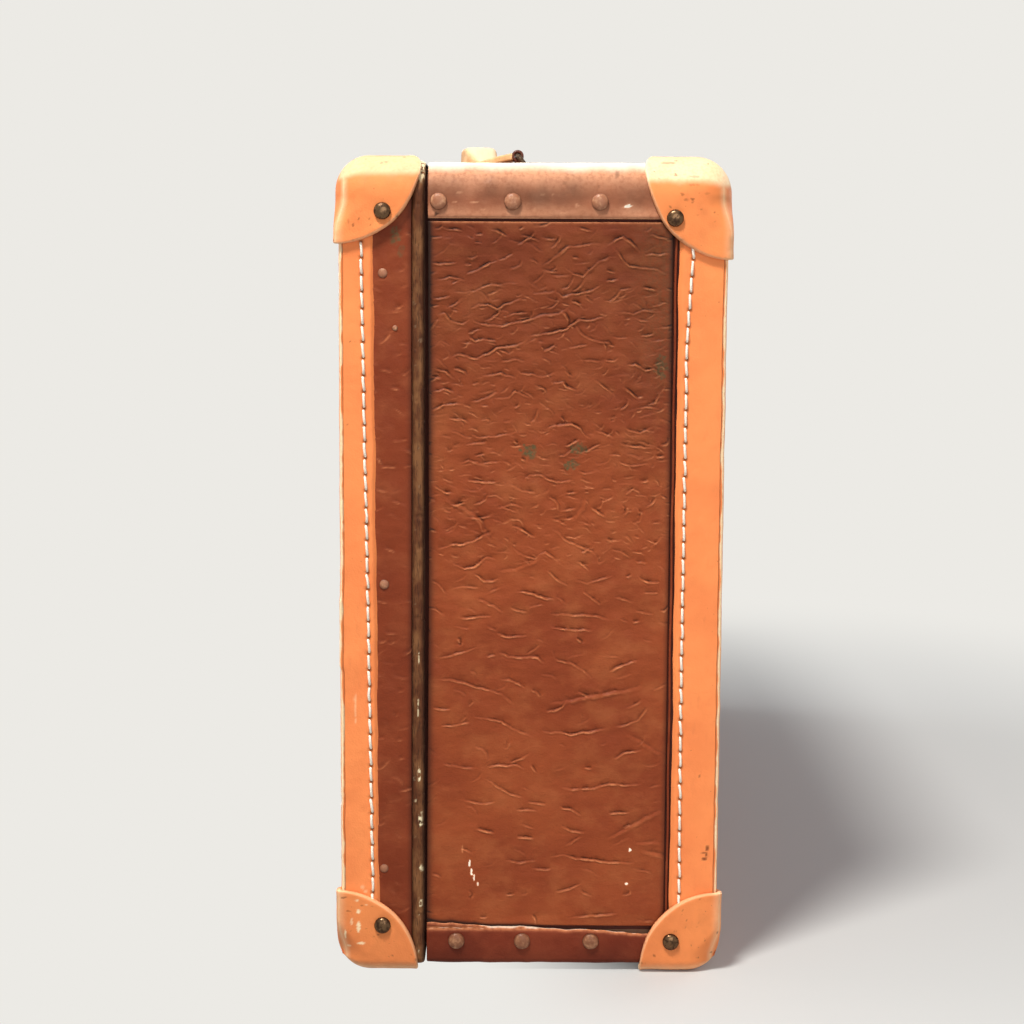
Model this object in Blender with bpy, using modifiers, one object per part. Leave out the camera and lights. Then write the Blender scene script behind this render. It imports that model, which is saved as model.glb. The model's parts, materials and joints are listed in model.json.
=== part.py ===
"""A cardboard suitcase, closed and standing on its hinge side.

X runs along the case, Y from the lid face to the back, and Z up. The origin is under the middle of the
case, on the surface that its bottom corner caps stand on. Right means the +X end.
"""

import math

import bmesh
import bpy
from mathutils import Matrix, Vector

MM = 0.001

# Driving dimensions, over the corner caps
case_length = 600 * MM
case_depth = 184 * MM
case_height = 386 * MM
lid_depth = 42.1 * MM
seam_gap = 2.3 * MM

# Board, covers and the gap that neighbours keep
fit_gap = 0.3 * MM
board_thickness = 2.5 * MM
panel_thickness = 1.2 * MM
wrap_thickness = 2.0 * MM
binding_thickness = 2.6 * MM
cap_thickness = 2.2 * MM
corner_radius = 13.7 * MM
edge_radius = 7.0 * MM
cut_overrun = 5 * MM

# Bindings, bead, flaps and grooves
base_binding_width = 22.5 * MM
lid_binding_width = 16.6 * MM
binding_face_width = 20 * MM
bead_width = 5.8 * MM
bead_rounding = 1.7 * MM
top_flap_depth = 26 * MM
bottom_flap_depth = 17.5 * MM
panel_groove = 2.6 * MM
flap_groove = 1.4 * MM
panel_edge_rounding = 0.4 * MM

# Corner caps: how far each lobe reaches from the corner
lid_cap_reach = 41.5 * MM
base_cap_reach = 42 * MM
base_top_cap_drop = 48 * MM
bottom_cap_reach = 40 * MM

# Mouth band, inside the base and reaching into the lid
band_thickness = 2.0 * MM
band_seat_depth = 14 * MM
band_reach = 8 * MM
band_gap = 0.5 * MM

# Rivets
rivet_head_radius = 3.9 * MM
rivet_head_height = 1.5 * MM
rivet_shank_radius = 1.4 * MM
top_rivet_drop = 18.3 * MM
bottom_rivet_rise = 11.5 * MM
top_rivet_shares = (0.035, 0.332, 0.682)
bottom_rivet_shares = (0.113, 0.388, 0.675)
lid_top_rivet_place = (22.8 * MM, 26.0 * MM)
lid_bottom_rivet_place = (22.2 * MM, 23.0 * MM)
base_top_rivet_place = (27.3 * MM, 28.6 * MM)
base_bottom_rivet_place = (24.3 * MM, 15.5 * MM)

# Hinges
hinge_spacing = 360 * MM
hinge_length = 50 * MM
hinge_leaf_width = 15 * MM
hinge_leaf_thickness = 1.0 * MM
knuckle_radius = 2.0 * MM
hinge_pin_radius = 0.9 * MM
hinge_ground_clearance = 0.2 * MM

# Locks
lock_spacing = 300 * MM
lock_case_length = 60 * MM
lock_case_width = 22.3 * MM
lock_case_height = 3.4 * MM
lock_wall = 0.9 * MM
lock_rounding = 0.6 * MM
slider_radius = 4.0 * MM
slider_height = 1.4 * MM
slider_stem_radius = 1.6 * MM
slider_travel = 7 * MM
slider_offset = 16 * MM
slider_foot_radius = 3.0 * MM
slider_foot_height = 0.8 * MM
slider_rounding = 0.35 * MM
hasp_width = 20 * MM
hasp_reach = 19 * MM
hasp_thickness = 1.0 * MM
hasp_knuckle_radius = 1.7 * MM
hasp_pin_radius = 0.8 * MM
hasp_plate_width = 30 * MM
hasp_plate_depth = 12 * MM
hasp_plate_thickness = 1.4 * MM
hasp_setback = 1.9 * MM

# Handle, folded towards the lid
handle_spacing = 124 * MM
ring_wire_radius = 1.5 * MM
ring_width = 21 * MM
ring_rounding = 3 * MM
ring_lean = 7 * MM
ring_rise = 9 * MM
pivot_height = 6 * MM
bracket_length = 30 * MM
bracket_width = 20 * MM
bracket_thickness = 1.5 * MM
barrel_radius = 3.4 * MM
barrel_length = 12 * MM
barrel_web_width = 4.4 * MM
running_gap = 0.4 * MM
grip_offset = 30 * MM
grip_width = 20 * MM
grip_thickness = 17 * MM
grip_lift = 2.5 * MM
grip_bend_radius = 22 * MM
strap_width = 16 * MM
strap_thickness = 4.6 * MM
eye_radius = 4.2 * MM

# Facets and shading
smooth_angle = math.radians(35)
rounding_steps = 2
bead_steps = 3
dome_steps = 3
wire_resolution = 2
corner_steps = 5
edge_steps = 3
round_sides = 16
hole_sides = 10
cap_rings = 40
grip_sides = 12
grip_bend_steps = 6
grip_straight_steps = 2
ring_corner_steps = 2
grip_fullness = 0.7
flat_slope = 0.1
steep_slope = 0.9
weld_distance = 0.00001

# Levels above the bare tray, and the planes that follow from them
skin_level = fit_gap
panel_level = skin_level + panel_thickness
wrap_level = skin_level + wrap_thickness
binding_level = skin_level + binding_thickness
cap_inner_level = binding_level + fit_gap
cap_level = cap_inner_level + cap_thickness
tray_length = case_length - 2 * cap_level
tray_height = case_height - 2 * cap_level
tray_bottom = cap_level
tray_top = case_height - cap_level
middle_height = case_height / 2
lid_face_y = cap_level - case_depth / 2
back_face_y = case_depth / 2 - cap_level
lid_mouth_y = lid_depth - case_depth / 2
base_mouth_y = lid_mouth_y + seam_gap
seam_y = (lid_mouth_y + base_mouth_y) / 2
base_binding_y = back_face_y + binding_level - base_binding_width
lid_binding_y = lid_face_y - binding_level + lid_binding_width
bead_y = lid_mouth_y - bead_width
base_wrap_end_y = base_binding_y - fit_gap
panel_end_y = base_binding_y - panel_groove
top_flap_z = tray_top + wrap_level - top_flap_depth
bottom_flap_z = tray_bottom - wrap_level + bottom_flap_depth
top_surface_z = tray_top + wrap_level
bottom_surface_z = tray_bottom - wrap_level
lid_top_surface_z = tray_top + panel_level
lid_bottom_surface_z = tray_bottom - panel_level
hinge_z = knuckle_radius + hinge_ground_clearance
pivot_z = top_surface_z + pivot_height


def clear_scene():
    for old in list(bpy.data.objects):
        bpy.data.objects.remove(old, do_unlink=True)


def new_collection(name):
    collection = bpy.data.collections.new(name)
    bpy.context.scene.collection.children.link(collection)
    return collection


def new_material(name, color, roughness, metallic=0.0):
    material = bpy.data.materials.new(name)
    material.use_nodes = True
    shader = material.node_tree.nodes["Principled BSDF"]
    shader.inputs["Base Color"].default_value = (*color, 1.0)
    shader.inputs["Roughness"].default_value = roughness
    shader.inputs["Metallic"].default_value = metallic
    material.diffuse_color = (*color, 1.0)
    return material


clear_scene()
PARTS = new_collection("cardboard_suitcase")
CUTTERS = new_collection("cutters")
CUTTERS.hide_render = True

BOARD = new_material("grey_board", (0.28, 0.17, 0.10), 0.85)
GRAINED = new_material("grained_fibre", (0.27, 0.075, 0.028), 0.55)
TAN = new_material("tan_binding", (0.90, 0.30, 0.12), 0.5)
CAP_TAN = new_material("tan_cap", (0.87, 0.31, 0.11), 0.45)
BEAD_BROWN = new_material("bead_brown", (0.13, 0.075, 0.032), 0.4)
BAND_BOARD = new_material("band_board", (0.35, 0.20, 0.10), 0.7)
BRASS = new_material("antique_brass", (0.16, 0.10, 0.06), 0.35, 1.0)
PAINTED = new_material("painted_rivet", (0.33, 0.16, 0.08), 0.5)
STEEL = new_material("steel", (0.45, 0.43, 0.40), 0.3, 1.0)
LEATHER = new_material("handle_leather", (0.72, 0.43, 0.22), 0.5)


def place(name, mesh, collection, material=None):
    item = bpy.data.objects.new(name, mesh)
    collection.objects.link(item)
    if material:
        mesh.materials.append(material)
    if collection is CUTTERS:
        item.hide_render = True
        item.display_type = "WIRE"
    return item


def from_bmesh(name, form, collection, material=None, smooth=False):
    bmesh.ops.recalc_face_normals(form, faces=form.faces)
    mesh = bpy.data.meshes.new(name)
    form.to_mesh(mesh)
    form.free()
    if smooth:
        mesh.shade_smooth()
        mesh.set_sharp_from_angle(angle=smooth_angle)
    return place(name, mesh, collection, material)


def box(name, low, high, collection, material=None, rounding=0.0):
    """A box between two corners, with its edges rounded if rounding is given."""
    form = bmesh.new()
    bmesh.ops.create_cube(form, size=1)
    low = Vector(low)
    high = Vector(high)
    for vertex in form.verts:
        share = vertex.co + Vector((0.5, 0.5, 0.5))
        vertex.co = Vector(a + (b - a) * s for a, b, s in zip(low, high, share))
    item = from_bmesh(name, form, collection, material)
    if rounding:
        bevel = item.modifiers.new("rounding", "BEVEL")
        bevel.width = rounding
        bevel.segments = rounding_steps
    return item


def rod(name, start, end, radius, collection, material=None, sides=round_sides):
    """A cylinder from one point to another."""
    start = Vector(start)
    end = Vector(end)
    axis = end - start
    turn = axis.to_track_quat("Z", "Y").to_matrix().to_4x4()
    form = bmesh.new()
    bmesh.ops.create_cone(
        form,
        cap_ends=True,
        segments=sides,
        radius1=radius,
        radius2=radius,
        depth=axis.length,
        matrix=Matrix.Translation((start + end) / 2) @ turn,
    )
    return from_bmesh(name, form, collection, material, smooth=True)


def rounded_block(name, level, mouth_y, face_y, collection=CUTTERS, material=None):
    """The tray's outer form, grown by a level: its wall corners and its face edges are rounded."""
    outward = 1 if face_y > mouth_y else -1
    face_y = face_y + outward * level
    half_length = tray_length / 2 + level
    half_height = tray_height / 2 + level
    form = bmesh.new()
    bmesh.ops.create_cube(form, size=1)
    for vertex in form.verts:
        at_face = (vertex.co.y > 0) == (outward > 0)
        vertex.co.x = math.copysign(half_length, vertex.co.x)
        vertex.co.y = face_y if at_face else mouth_y
        vertex.co.z = middle_height + math.copysign(half_height, vertex.co.z)
    corners = [e for e in form.edges if abs(e.verts[0].co.y - e.verts[1].co.y) > abs(level)
               and abs(e.verts[0].co.x - e.verts[1].co.x) < weld_distance
               and abs(e.verts[0].co.z - e.verts[1].co.z) < weld_distance]
    bmesh.ops.bevel(form, geom=corners, offset=corner_radius + level, offset_type="OFFSET",
                    segments=corner_steps, profile=0.5, affect="EDGES")
    rim = [e for e in form.edges if all(abs(v.co.y - face_y) < weld_distance for v in e.verts)]
    bmesh.ops.bevel(form, geom=rim, offset=edge_radius + level, offset_type="OFFSET",
                    segments=edge_steps, profile=0.5, affect="EDGES")
    return from_bmesh(name, form, collection, material, smooth=True)


def rounded_outline(length, height, radius, steps):
    """The corners of a rounded rectangle round the origin, in order."""
    points = []
    for turn, (side_x, side_y) in enumerate(((1, 1), (-1, 1), (-1, -1), (1, -1))):
        for step in range(steps + 1):
            angle = math.radians(90) * (turn + step / steps)
            points.append((side_x * (length / 2 - radius) + radius * math.cos(angle),
                           side_y * (height / 2 - radius) + radius * math.sin(angle)))
    return points


def curve_to_mesh(item, collection, material=None):
    """The curve's evaluated mesh, welded, in place of the curve."""
    bpy.context.view_layer.update()
    graph = bpy.context.evaluated_depsgraph_get()
    mesh = bpy.data.meshes.new_from_object(item.evaluated_get(graph))
    form = bmesh.new()
    form.from_mesh(mesh)
    bmesh.ops.remove_doubles(form, verts=form.verts, dist=weld_distance)
    bmesh.ops.recalc_face_normals(form, faces=form.faces)
    form.to_mesh(mesh)
    form.free()
    mesh.materials.clear()
    name = item.name
    matrix = item.matrix_world.copy()
    bpy.data.objects.remove(item, do_unlink=True)
    solid = place(name, mesh, collection, material)
    solid.matrix_world = matrix
    return solid


def slab(name, outlines, low_y, high_y, collection, material=None):
    """Flat outlines in the X and Z directions round the case's middle, filled and given a thickness in Y."""
    curve = bpy.data.curves.new(name, "CURVE")
    curve.dimensions = "2D"
    curve.fill_mode = "BOTH"
    curve.extrude = (high_y - low_y) / 2
    for outline in outlines:
        spline = curve.splines.new("POLY")
        spline.points.add(len(outline) - 1)
        for point, (x, z) in zip(spline.points, outline):
            point.co = (x, z, 0, 1)
        spline.use_cyclic_u = True
    item = bpy.data.objects.new(name, curve)
    collection.objects.link(item)
    item.location = (0, (low_y + high_y) / 2, middle_height)
    item.rotation_euler = (math.radians(90), 0, 0)
    return curve_to_mesh(item, collection, material)


def boolean(item, other, operation="DIFFERENCE"):
    modifier = item.modifiers.new(operation.lower(), "BOOLEAN")
    modifier.operation = operation
    modifier.object = other
    modifier.solver = "EXACT"
    return item


def set_origin(item, point):
    """Moves the object's origin to a point and leaves its shape where it is."""
    point = Vector(point)
    item.data.transform(Matrix.Translation(-point))
    item.matrix_world = Matrix.Translation(point)
    return item


def tray_outline(level):
    """The outline of the tray's walls, grown by a level."""
    return rounded_outline(tray_length + 2 * level, tray_height + 2 * level,
                           corner_radius + level, corner_steps)


def cover(name, inner_level, outer_level, mouth_y, face_y, material):
    """A skin over the tray between two levels, still open at the mouth."""
    piece = rounded_block(name, outer_level, mouth_y, face_y, PARTS, material)
    outward = 1 if face_y > mouth_y else -1
    inside = rounded_block(name + "_inside", inner_level, mouth_y - outward * cut_overrun, face_y)
    return boolean(piece, inside)


def side_name(side):
    return "right" if side > 0 else "left"


def rivet_places(side):
    """Name, level under the head, Y and Z of each rivet at one end of the case."""
    wrap_width = base_wrap_end_y - base_mouth_y
    end = side_name(side)
    places = []
    for number, share in enumerate(top_rivet_shares, 1):
        places.append((f"top_rivet_{end}_{number}", wrap_level,
                       base_mouth_y + share * wrap_width, top_surface_z - top_rivet_drop))
    for number, share in enumerate(bottom_rivet_shares, 1):
        places.append((f"bottom_rivet_{end}_{number}", wrap_level,
                       base_mouth_y + share * wrap_width, bottom_surface_z + bottom_rivet_rise))
    for name, direction, (inset, rise), top in (
        ("lid_cap_rivet_top", -1, lid_top_rivet_place, True),
        ("lid_cap_rivet_bottom", -1, lid_bottom_rivet_place, False),
        ("base_cap_rivet_top", 1, base_top_rivet_place, True),
        ("base_cap_rivet_bottom", 1, base_bottom_rivet_place, False),
    ):
        y = direction * (case_depth / 2 - inset)
        z = case_height - rise if top else rise
        places.append((f"{name}_{end}", cap_level, y, z))
    return places


def make_rivet(name, side, level, y, z):
    """A domed head and its shank, turned round the X axis, from the head's face to the tray's inner face."""
    seat = tray_length / 2 + level + fit_gap
    tail = tray_length / 2 - board_thickness + fit_gap
    profile = [(0.0, seat + rivet_head_height)]
    for step in range(1, dome_steps + 1):
        angle = math.radians(90) * step / dome_steps
        profile.append((rivet_head_radius * math.sin(angle), seat + rivet_head_height * math.cos(angle)))
    profile += [(rivet_shank_radius, seat), (rivet_shank_radius, tail), (0.0, tail)]
    form = bmesh.new()
    points = [form.verts.new((radius, 0, along - seat)) for radius, along in profile]
    for first, second in zip(points, points[1:]):
        form.edges.new((first, second))
    mesh = bpy.data.meshes.new(name)
    form.to_mesh(mesh)
    form.free()
    rivet = place(name, mesh, PARTS, PAINTED if level == wrap_level else BRASS)
    screw = rivet.modifiers.new("turned", "SCREW")
    screw.axis = "Z"
    screw.steps = hole_sides
    screw.render_steps = hole_sides
    screw.use_merge_vertices = True
    screw.merge_threshold = weld_distance
    rivet.location = (side * seat, y, z)
    rivet.rotation_euler = (0, side * math.radians(90), 0)
    return rivet


def make_end_holes(side):
    """One cutter with the holes of all rivets at one end."""
    form = bmesh.new()
    inner = tray_length / 2 - board_thickness - cut_overrun
    outer = tray_length / 2 + cap_level + cut_overrun
    for name, level, y, z in rivet_places(side):
        centre = Vector((side * (inner + outer) / 2, y, z))
        bmesh.ops.create_cone(
            form,
            cap_ends=True,
            segments=hole_sides,
            radius1=rivet_shank_radius + fit_gap,
            radius2=rivet_shank_radius + fit_gap,
            depth=outer - inner,
            matrix=Matrix.Translation(centre) @ Matrix.Rotation(math.radians(90), 4, "Y"),
        )
    return from_bmesh(f"rivet_holes_{side_name(side)}", form, CUTTERS)


END_HOLES = {side: make_end_holes(side) for side in (1, -1)}


def drill(item, sides=(1, -1)):
    for side in sides:
        boolean(item, END_HOLES[side])
    return item


def make_tray(name, mouth_y, face_y):
    """The cardboard tray: a face, four walls and an open mouth."""
    tray = rounded_block(name, 0.0, mouth_y, face_y, PARTS, BOARD)
    outward = 1 if face_y > mouth_y else -1
    inside = rounded_block(name + "_inside", -board_thickness, mouth_y - outward * cut_overrun, face_y)
    boolean(tray, inside)
    return drill(tray)


def make_binding(name, face_y, inner_y):
    """The strip folded over the edge between the walls and the face."""
    binding = cover(name, skin_level, binding_level, inner_y, face_y, TAN)
    window_length = tray_length + 2 * binding_level - 2 * binding_face_width
    window_height = tray_height + 2 * binding_level - 2 * binding_face_width
    window = slab(
        name + "_window",
        [rounded_outline(window_length, window_height, edge_radius, corner_steps)],
        face_y - cut_overrun - binding_level,
        face_y + cut_overrun + binding_level,
        CUTTERS,
    )
    boolean(binding, window)
    return drill(binding)


def make_face_panel(name, face_y):
    """The grained sheet on a face, inside the binding."""
    outward = 1 if face_y > 0 else -1
    length = tray_length + 2 * binding_level - 2 * binding_face_width - 2 * fit_gap
    height = tray_height + 2 * binding_level - 2 * binding_face_width - 2 * fit_gap
    ends = sorted((face_y + outward * skin_level, face_y + outward * panel_level))
    outline = rounded_outline(length, height, edge_radius - fit_gap, corner_steps)
    return slab(name, [outline], ends[0], ends[1], PARTS, GRAINED)


def make_cap(name, side, top, face_y, mouth_y, reach, drop):
    """A pressed corner cap: the part of an outer skin that lies within its reach of the corner."""
    cap = cover(name, cap_inner_level, cap_level, mouth_y, face_y, CAP_TAN)
    outward = 1 if face_y > mouth_y else -1
    corner = Vector((side * case_length / 2, outward * case_depth / 2, case_height if top else 0.0))
    form = bmesh.new()
    bmesh.ops.create_uvsphere(form, u_segments=cap_rings, v_segments=cap_rings // 2, radius=1)
    for vertex in form.verts:
        vertex.co = corner + Vector((vertex.co.x * reach, vertex.co.y * reach, vertex.co.z * drop))
    lobes = from_bmesh(name + "_reach", form, CUTTERS)
    boolean(cap, lobes, "INTERSECT")
    return drill(cap, (side,))


def make_caps():
    for side in (1, -1):
        end = side_name(side)
        for part, face_y, mouth_y, top_reach, top_drop in (
            ("lid", lid_face_y, lid_mouth_y, lid_cap_reach, lid_cap_reach),
            ("base", back_face_y, base_mouth_y, base_cap_reach, base_top_cap_drop),
        ):
            make_cap(f"{part}_cap_top_{end}", side, True, face_y, mouth_y, top_reach, top_drop)
            make_cap(f"{part}_cap_bottom_{end}", side, False, face_y, mouth_y,
                     bottom_cap_reach, bottom_cap_reach)


def make_wrap(name, low_z, high_z):
    """A long wall's cover, whose ends fold round the corners and lap on to the ends of the case."""
    wrap = slab(
        name,
        [tray_outline(wrap_level), tray_outline(skin_level)],
        base_mouth_y,
        base_wrap_end_y,
        PARTS,
        GRAINED,
    )
    reach = case_length / 2 + cut_overrun
    kept = box(name + "_kept", (-reach, base_mouth_y - cut_overrun, low_z),
               (reach, base_wrap_end_y + cut_overrun, high_z), CUTTERS)
    boolean(wrap, kept, "INTERSECT")
    return drill(wrap)


def make_end_panel(side):
    """The grained sheet on one end of the base, between the two flaps and beside the binding's groove."""
    inner = tray_length / 2 + skin_level
    outer = tray_length / 2 + panel_level
    ends = sorted((side * inner, side * outer))
    panel = box(
        f"base_end_panel_{side_name(side)}",
        (ends[0], base_mouth_y, bottom_flap_z + flap_groove),
        (ends[1], panel_end_y, top_flap_z - flap_groove),
        PARTS,
        GRAINED,
        panel_edge_rounding,
    )
    return drill(panel, (side,))


def make_lid_band():
    """The grained side wall that shows between the lid's binding and its bead."""
    band = slab(
        "lid_side_band",
        [tray_outline(panel_level), tray_outline(skin_level)],
        lid_binding_y + fit_gap,
        bead_y - fit_gap,
        PARTS,
        GRAINED,
    )
    return drill(band)


def hardware_recesses():
    """Boxes that clear the bead and the walls' covers where the hinges and the hasp plates sit."""
    half_hinge = hinge_length / 2 + fit_gap
    half_plate = hasp_plate_width / 2 + fit_gap
    recesses = []
    for side in (1, -1):
        middle = side * hinge_spacing / 2
        recesses.append(box(
            f"hinge_seat_{side_name(side)}",
            (middle - half_hinge, bead_y - cut_overrun, -cut_overrun),
            (middle + half_hinge, seam_y, lid_bottom_surface_z),
            CUTTERS,
        ))
        middle = side * lock_spacing / 2
        recesses.append(box(
            f"hasp_seat_{side_name(side)}",
            (middle - half_plate, bead_y - cut_overrun, lid_top_surface_z),
            (middle + half_plate, seam_y, case_height + cut_overrun),
            CUTTERS,
        ))
    return recesses


def make_bead():
    """The half-round bead round the lid's mouth."""
    bead = slab(
        "lid_bead",
        [tray_outline(binding_level), tray_outline(skin_level)],
        bead_y,
        lid_mouth_y,
        PARTS,
        BEAD_BROWN,
    )
    form = bmesh.new()
    form.from_mesh(bead.data)
    rims = []
    for edge in form.edges:
        slopes = sorted(abs(face.normal.z) for face in edge.link_faces)
        on_rim = slopes[0] < flat_slope and slopes[1] > steep_slope
        levels = [outside_level(bead.matrix_world @ vertex.co) for vertex in edge.verts]
        if on_rim and min(levels) > binding_level / 2:
            rims.append(edge)
    bmesh.ops.bevel(form, geom=rims, offset=bead_rounding, offset_type="OFFSET", segments=bead_steps,
                    profile=0.5, affect="EDGES")
    form.to_mesh(bead.data)
    form.free()
    for recess in hardware_recesses():
        boolean(bead, recess)
    return bead


def outside_level(point):
    """How far a point in the wall's plane lies outside the tray's rounded outline."""
    over_x = max(abs(point.x) - (tray_length / 2 - corner_radius), 0.0)
    over_z = max(abs(point.z - middle_height) - (tray_height / 2 - corner_radius), 0.0)
    return math.hypot(over_x, over_z) - corner_radius


def make_mouth_band():
    """The strip inside the base's mouth that the lid closes over."""
    outer = -board_thickness - band_gap
    return slab(
        "mouth_band",
        [tray_outline(outer), tray_outline(outer - band_thickness)],
        base_mouth_y - band_reach,
        base_mouth_y + band_seat_depth,
        PARTS,
        BAND_BOARD,
    )


def make_hinge(side):
    """Two leaves with knuckles round one pin, on the bottom wall at the seam."""
    end = side_name(side)
    middle = side * hinge_spacing / 2
    low_x = middle - hinge_length / 2
    high_x = middle + hinge_length / 2
    third = hinge_length / 3
    low_joint = (low_x + third - fit_gap, low_x + third + fit_gap)
    high_joint = (high_x - third - fit_gap, high_x - third + fit_gap)
    bore = hinge_rod(f"hinge_bore_{end}", low_x - cut_overrun, high_x + cut_overrun,
                     hinge_pin_radius + fit_gap)
    leaf_z = bottom_surface_z - fit_gap
    base_leaf = box(f"hinge_base_leaf_{end}", (low_x, seam_y, leaf_z - hinge_leaf_thickness),
                    (high_x, seam_y + hinge_leaf_width, leaf_z), PARTS, STEEL)
    boolean(base_leaf, hinge_gap(f"hinge_middle_gap_{end}", low_joint[0], high_joint[1]))
    boolean(base_leaf, hinge_rod(f"hinge_low_knuckle_{end}", low_x, low_joint[0], knuckle_radius), "UNION")
    boolean(base_leaf, hinge_rod(f"hinge_high_knuckle_{end}", high_joint[1], high_x, knuckle_radius), "UNION")
    boolean(base_leaf, bore)
    set_origin(base_leaf, (middle, seam_y, hinge_z))
    leaf_z = lid_bottom_surface_z - fit_gap
    lid_leaf = box(f"hinge_lid_leaf_{end}", (low_x, seam_y - hinge_leaf_width, leaf_z - hinge_leaf_thickness),
                   (high_x, seam_y - knuckle_radius / 2, leaf_z), PARTS, STEEL)
    boolean(lid_leaf, hinge_gap(f"hinge_low_gap_{end}", low_x - cut_overrun, low_joint[1]))
    boolean(lid_leaf, hinge_gap(f"hinge_high_gap_{end}", high_joint[0], high_x + cut_overrun))
    boolean(lid_leaf, hinge_rod(f"hinge_middle_knuckle_{end}", low_joint[1], high_joint[0], knuckle_radius),
            "UNION")
    boolean(lid_leaf, bore)
    set_origin(lid_leaf, (middle, seam_y, hinge_z))
    hinge_rod(f"hinge_pin_{end}", low_x, high_x, hinge_pin_radius, PARTS, STEEL)


def hinge_rod(name, low_x, high_x, radius, collection=CUTTERS, material=None):
    """A round piece along the line that the lid turns on."""
    return rod(name, (low_x, seam_y, hinge_z), (high_x, seam_y, hinge_z), radius,
               collection, material, sides=hole_sides)


def hinge_gap(name, low_x, high_x):
    """The room that one leaf leaves for the other leaf's knuckles."""
    reach = knuckle_radius + fit_gap
    return box(name, (low_x, seam_y - reach, -cut_overrun),
               (high_x, seam_y + reach, hinge_z + cut_overrun), CUTTERS)


def knuckle_notch(side):
    """The room round a hinge's knuckles in the covers beside the seam."""
    middle = side * hinge_spacing / 2
    half = hinge_length / 2 + fit_gap
    return box(
        f"knuckle_notch_{side_name(side)}",
        (middle - half, seam_y - knuckle_radius - fit_gap, -cut_overrun),
        (middle + half, seam_y + knuckle_radius + fit_gap, hinge_z + knuckle_radius + fit_gap),
        CUTTERS,
    )


def make_lock(side):
    """A lock case on the base, its sliding button, and the hasp that folds over it from the lid."""
    end = side_name(side)
    middle = side * lock_spacing / 2
    case_z = top_surface_z + fit_gap
    case_top_z = case_z + lock_case_height
    case_low_y = base_mouth_y + fit_gap
    case_high_y = case_low_y + lock_case_width
    case = box(f"lock_case_{end}", (middle - lock_case_length / 2, case_low_y, case_z),
               (middle + lock_case_length / 2, case_high_y, case_top_z), PARTS, BRASS, lock_rounding)
    half = lock_case_length / 2 - lock_wall
    hollow = box(f"lock_hollow_{end}", (middle - half, case_low_y + lock_wall, case_z - cut_overrun),
                 (middle + half, case_high_y - lock_wall, case_top_z - lock_wall), CUTTERS)
    boolean(case, hollow)
    slider_x = middle + side * slider_offset
    slider_y = (case_low_y + case_high_y) / 2
    slot_half = slider_stem_radius + fit_gap
    slot_ends = sorted((slider_x - side * slot_half, slider_x + side * (slot_half + slider_travel)))
    slot = box(f"lock_slot_{end}", (slot_ends[0], slider_y - slot_half, case_top_z - lock_wall - cut_overrun),
               (slot_ends[1], slider_y + slot_half, case_top_z + cut_overrun), CUTTERS)
    boolean(case, slot)
    make_slider(end, slider_x, slider_y, case_top_z)
    make_hasp(side, middle, case_top_z)


def make_slider(end, x, y, case_top_z):
    """The button above the lock case, its stem through the slot and its foot inside."""
    button_z = case_top_z + fit_gap
    foot_z = case_top_z - lock_wall - fit_gap
    slider = rod(f"lock_slider_{end}", (x, y, button_z), (x, y, button_z + slider_height), slider_radius,
                 PARTS, BRASS)
    bevel = slider.modifiers.new("rounding", "BEVEL")
    bevel.width = slider_rounding
    bevel.segments = rounding_steps
    bevel.limit_method = "ANGLE"
    stem = rod(f"slider_stem_{end}", (x, y, foot_z - slider_foot_height / 2),
               (x, y, button_z + slider_height / 2), slider_stem_radius, CUTTERS, sides=hole_sides)
    foot = rod(f"slider_foot_{end}", (x, y, foot_z - slider_foot_height), (x, y, foot_z),
               slider_foot_radius, CUTTERS, sides=hole_sides)
    boolean(slider, stem, "UNION")
    boolean(slider, foot, "UNION")
    return set_origin(slider, (x, y, case_top_z))


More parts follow.
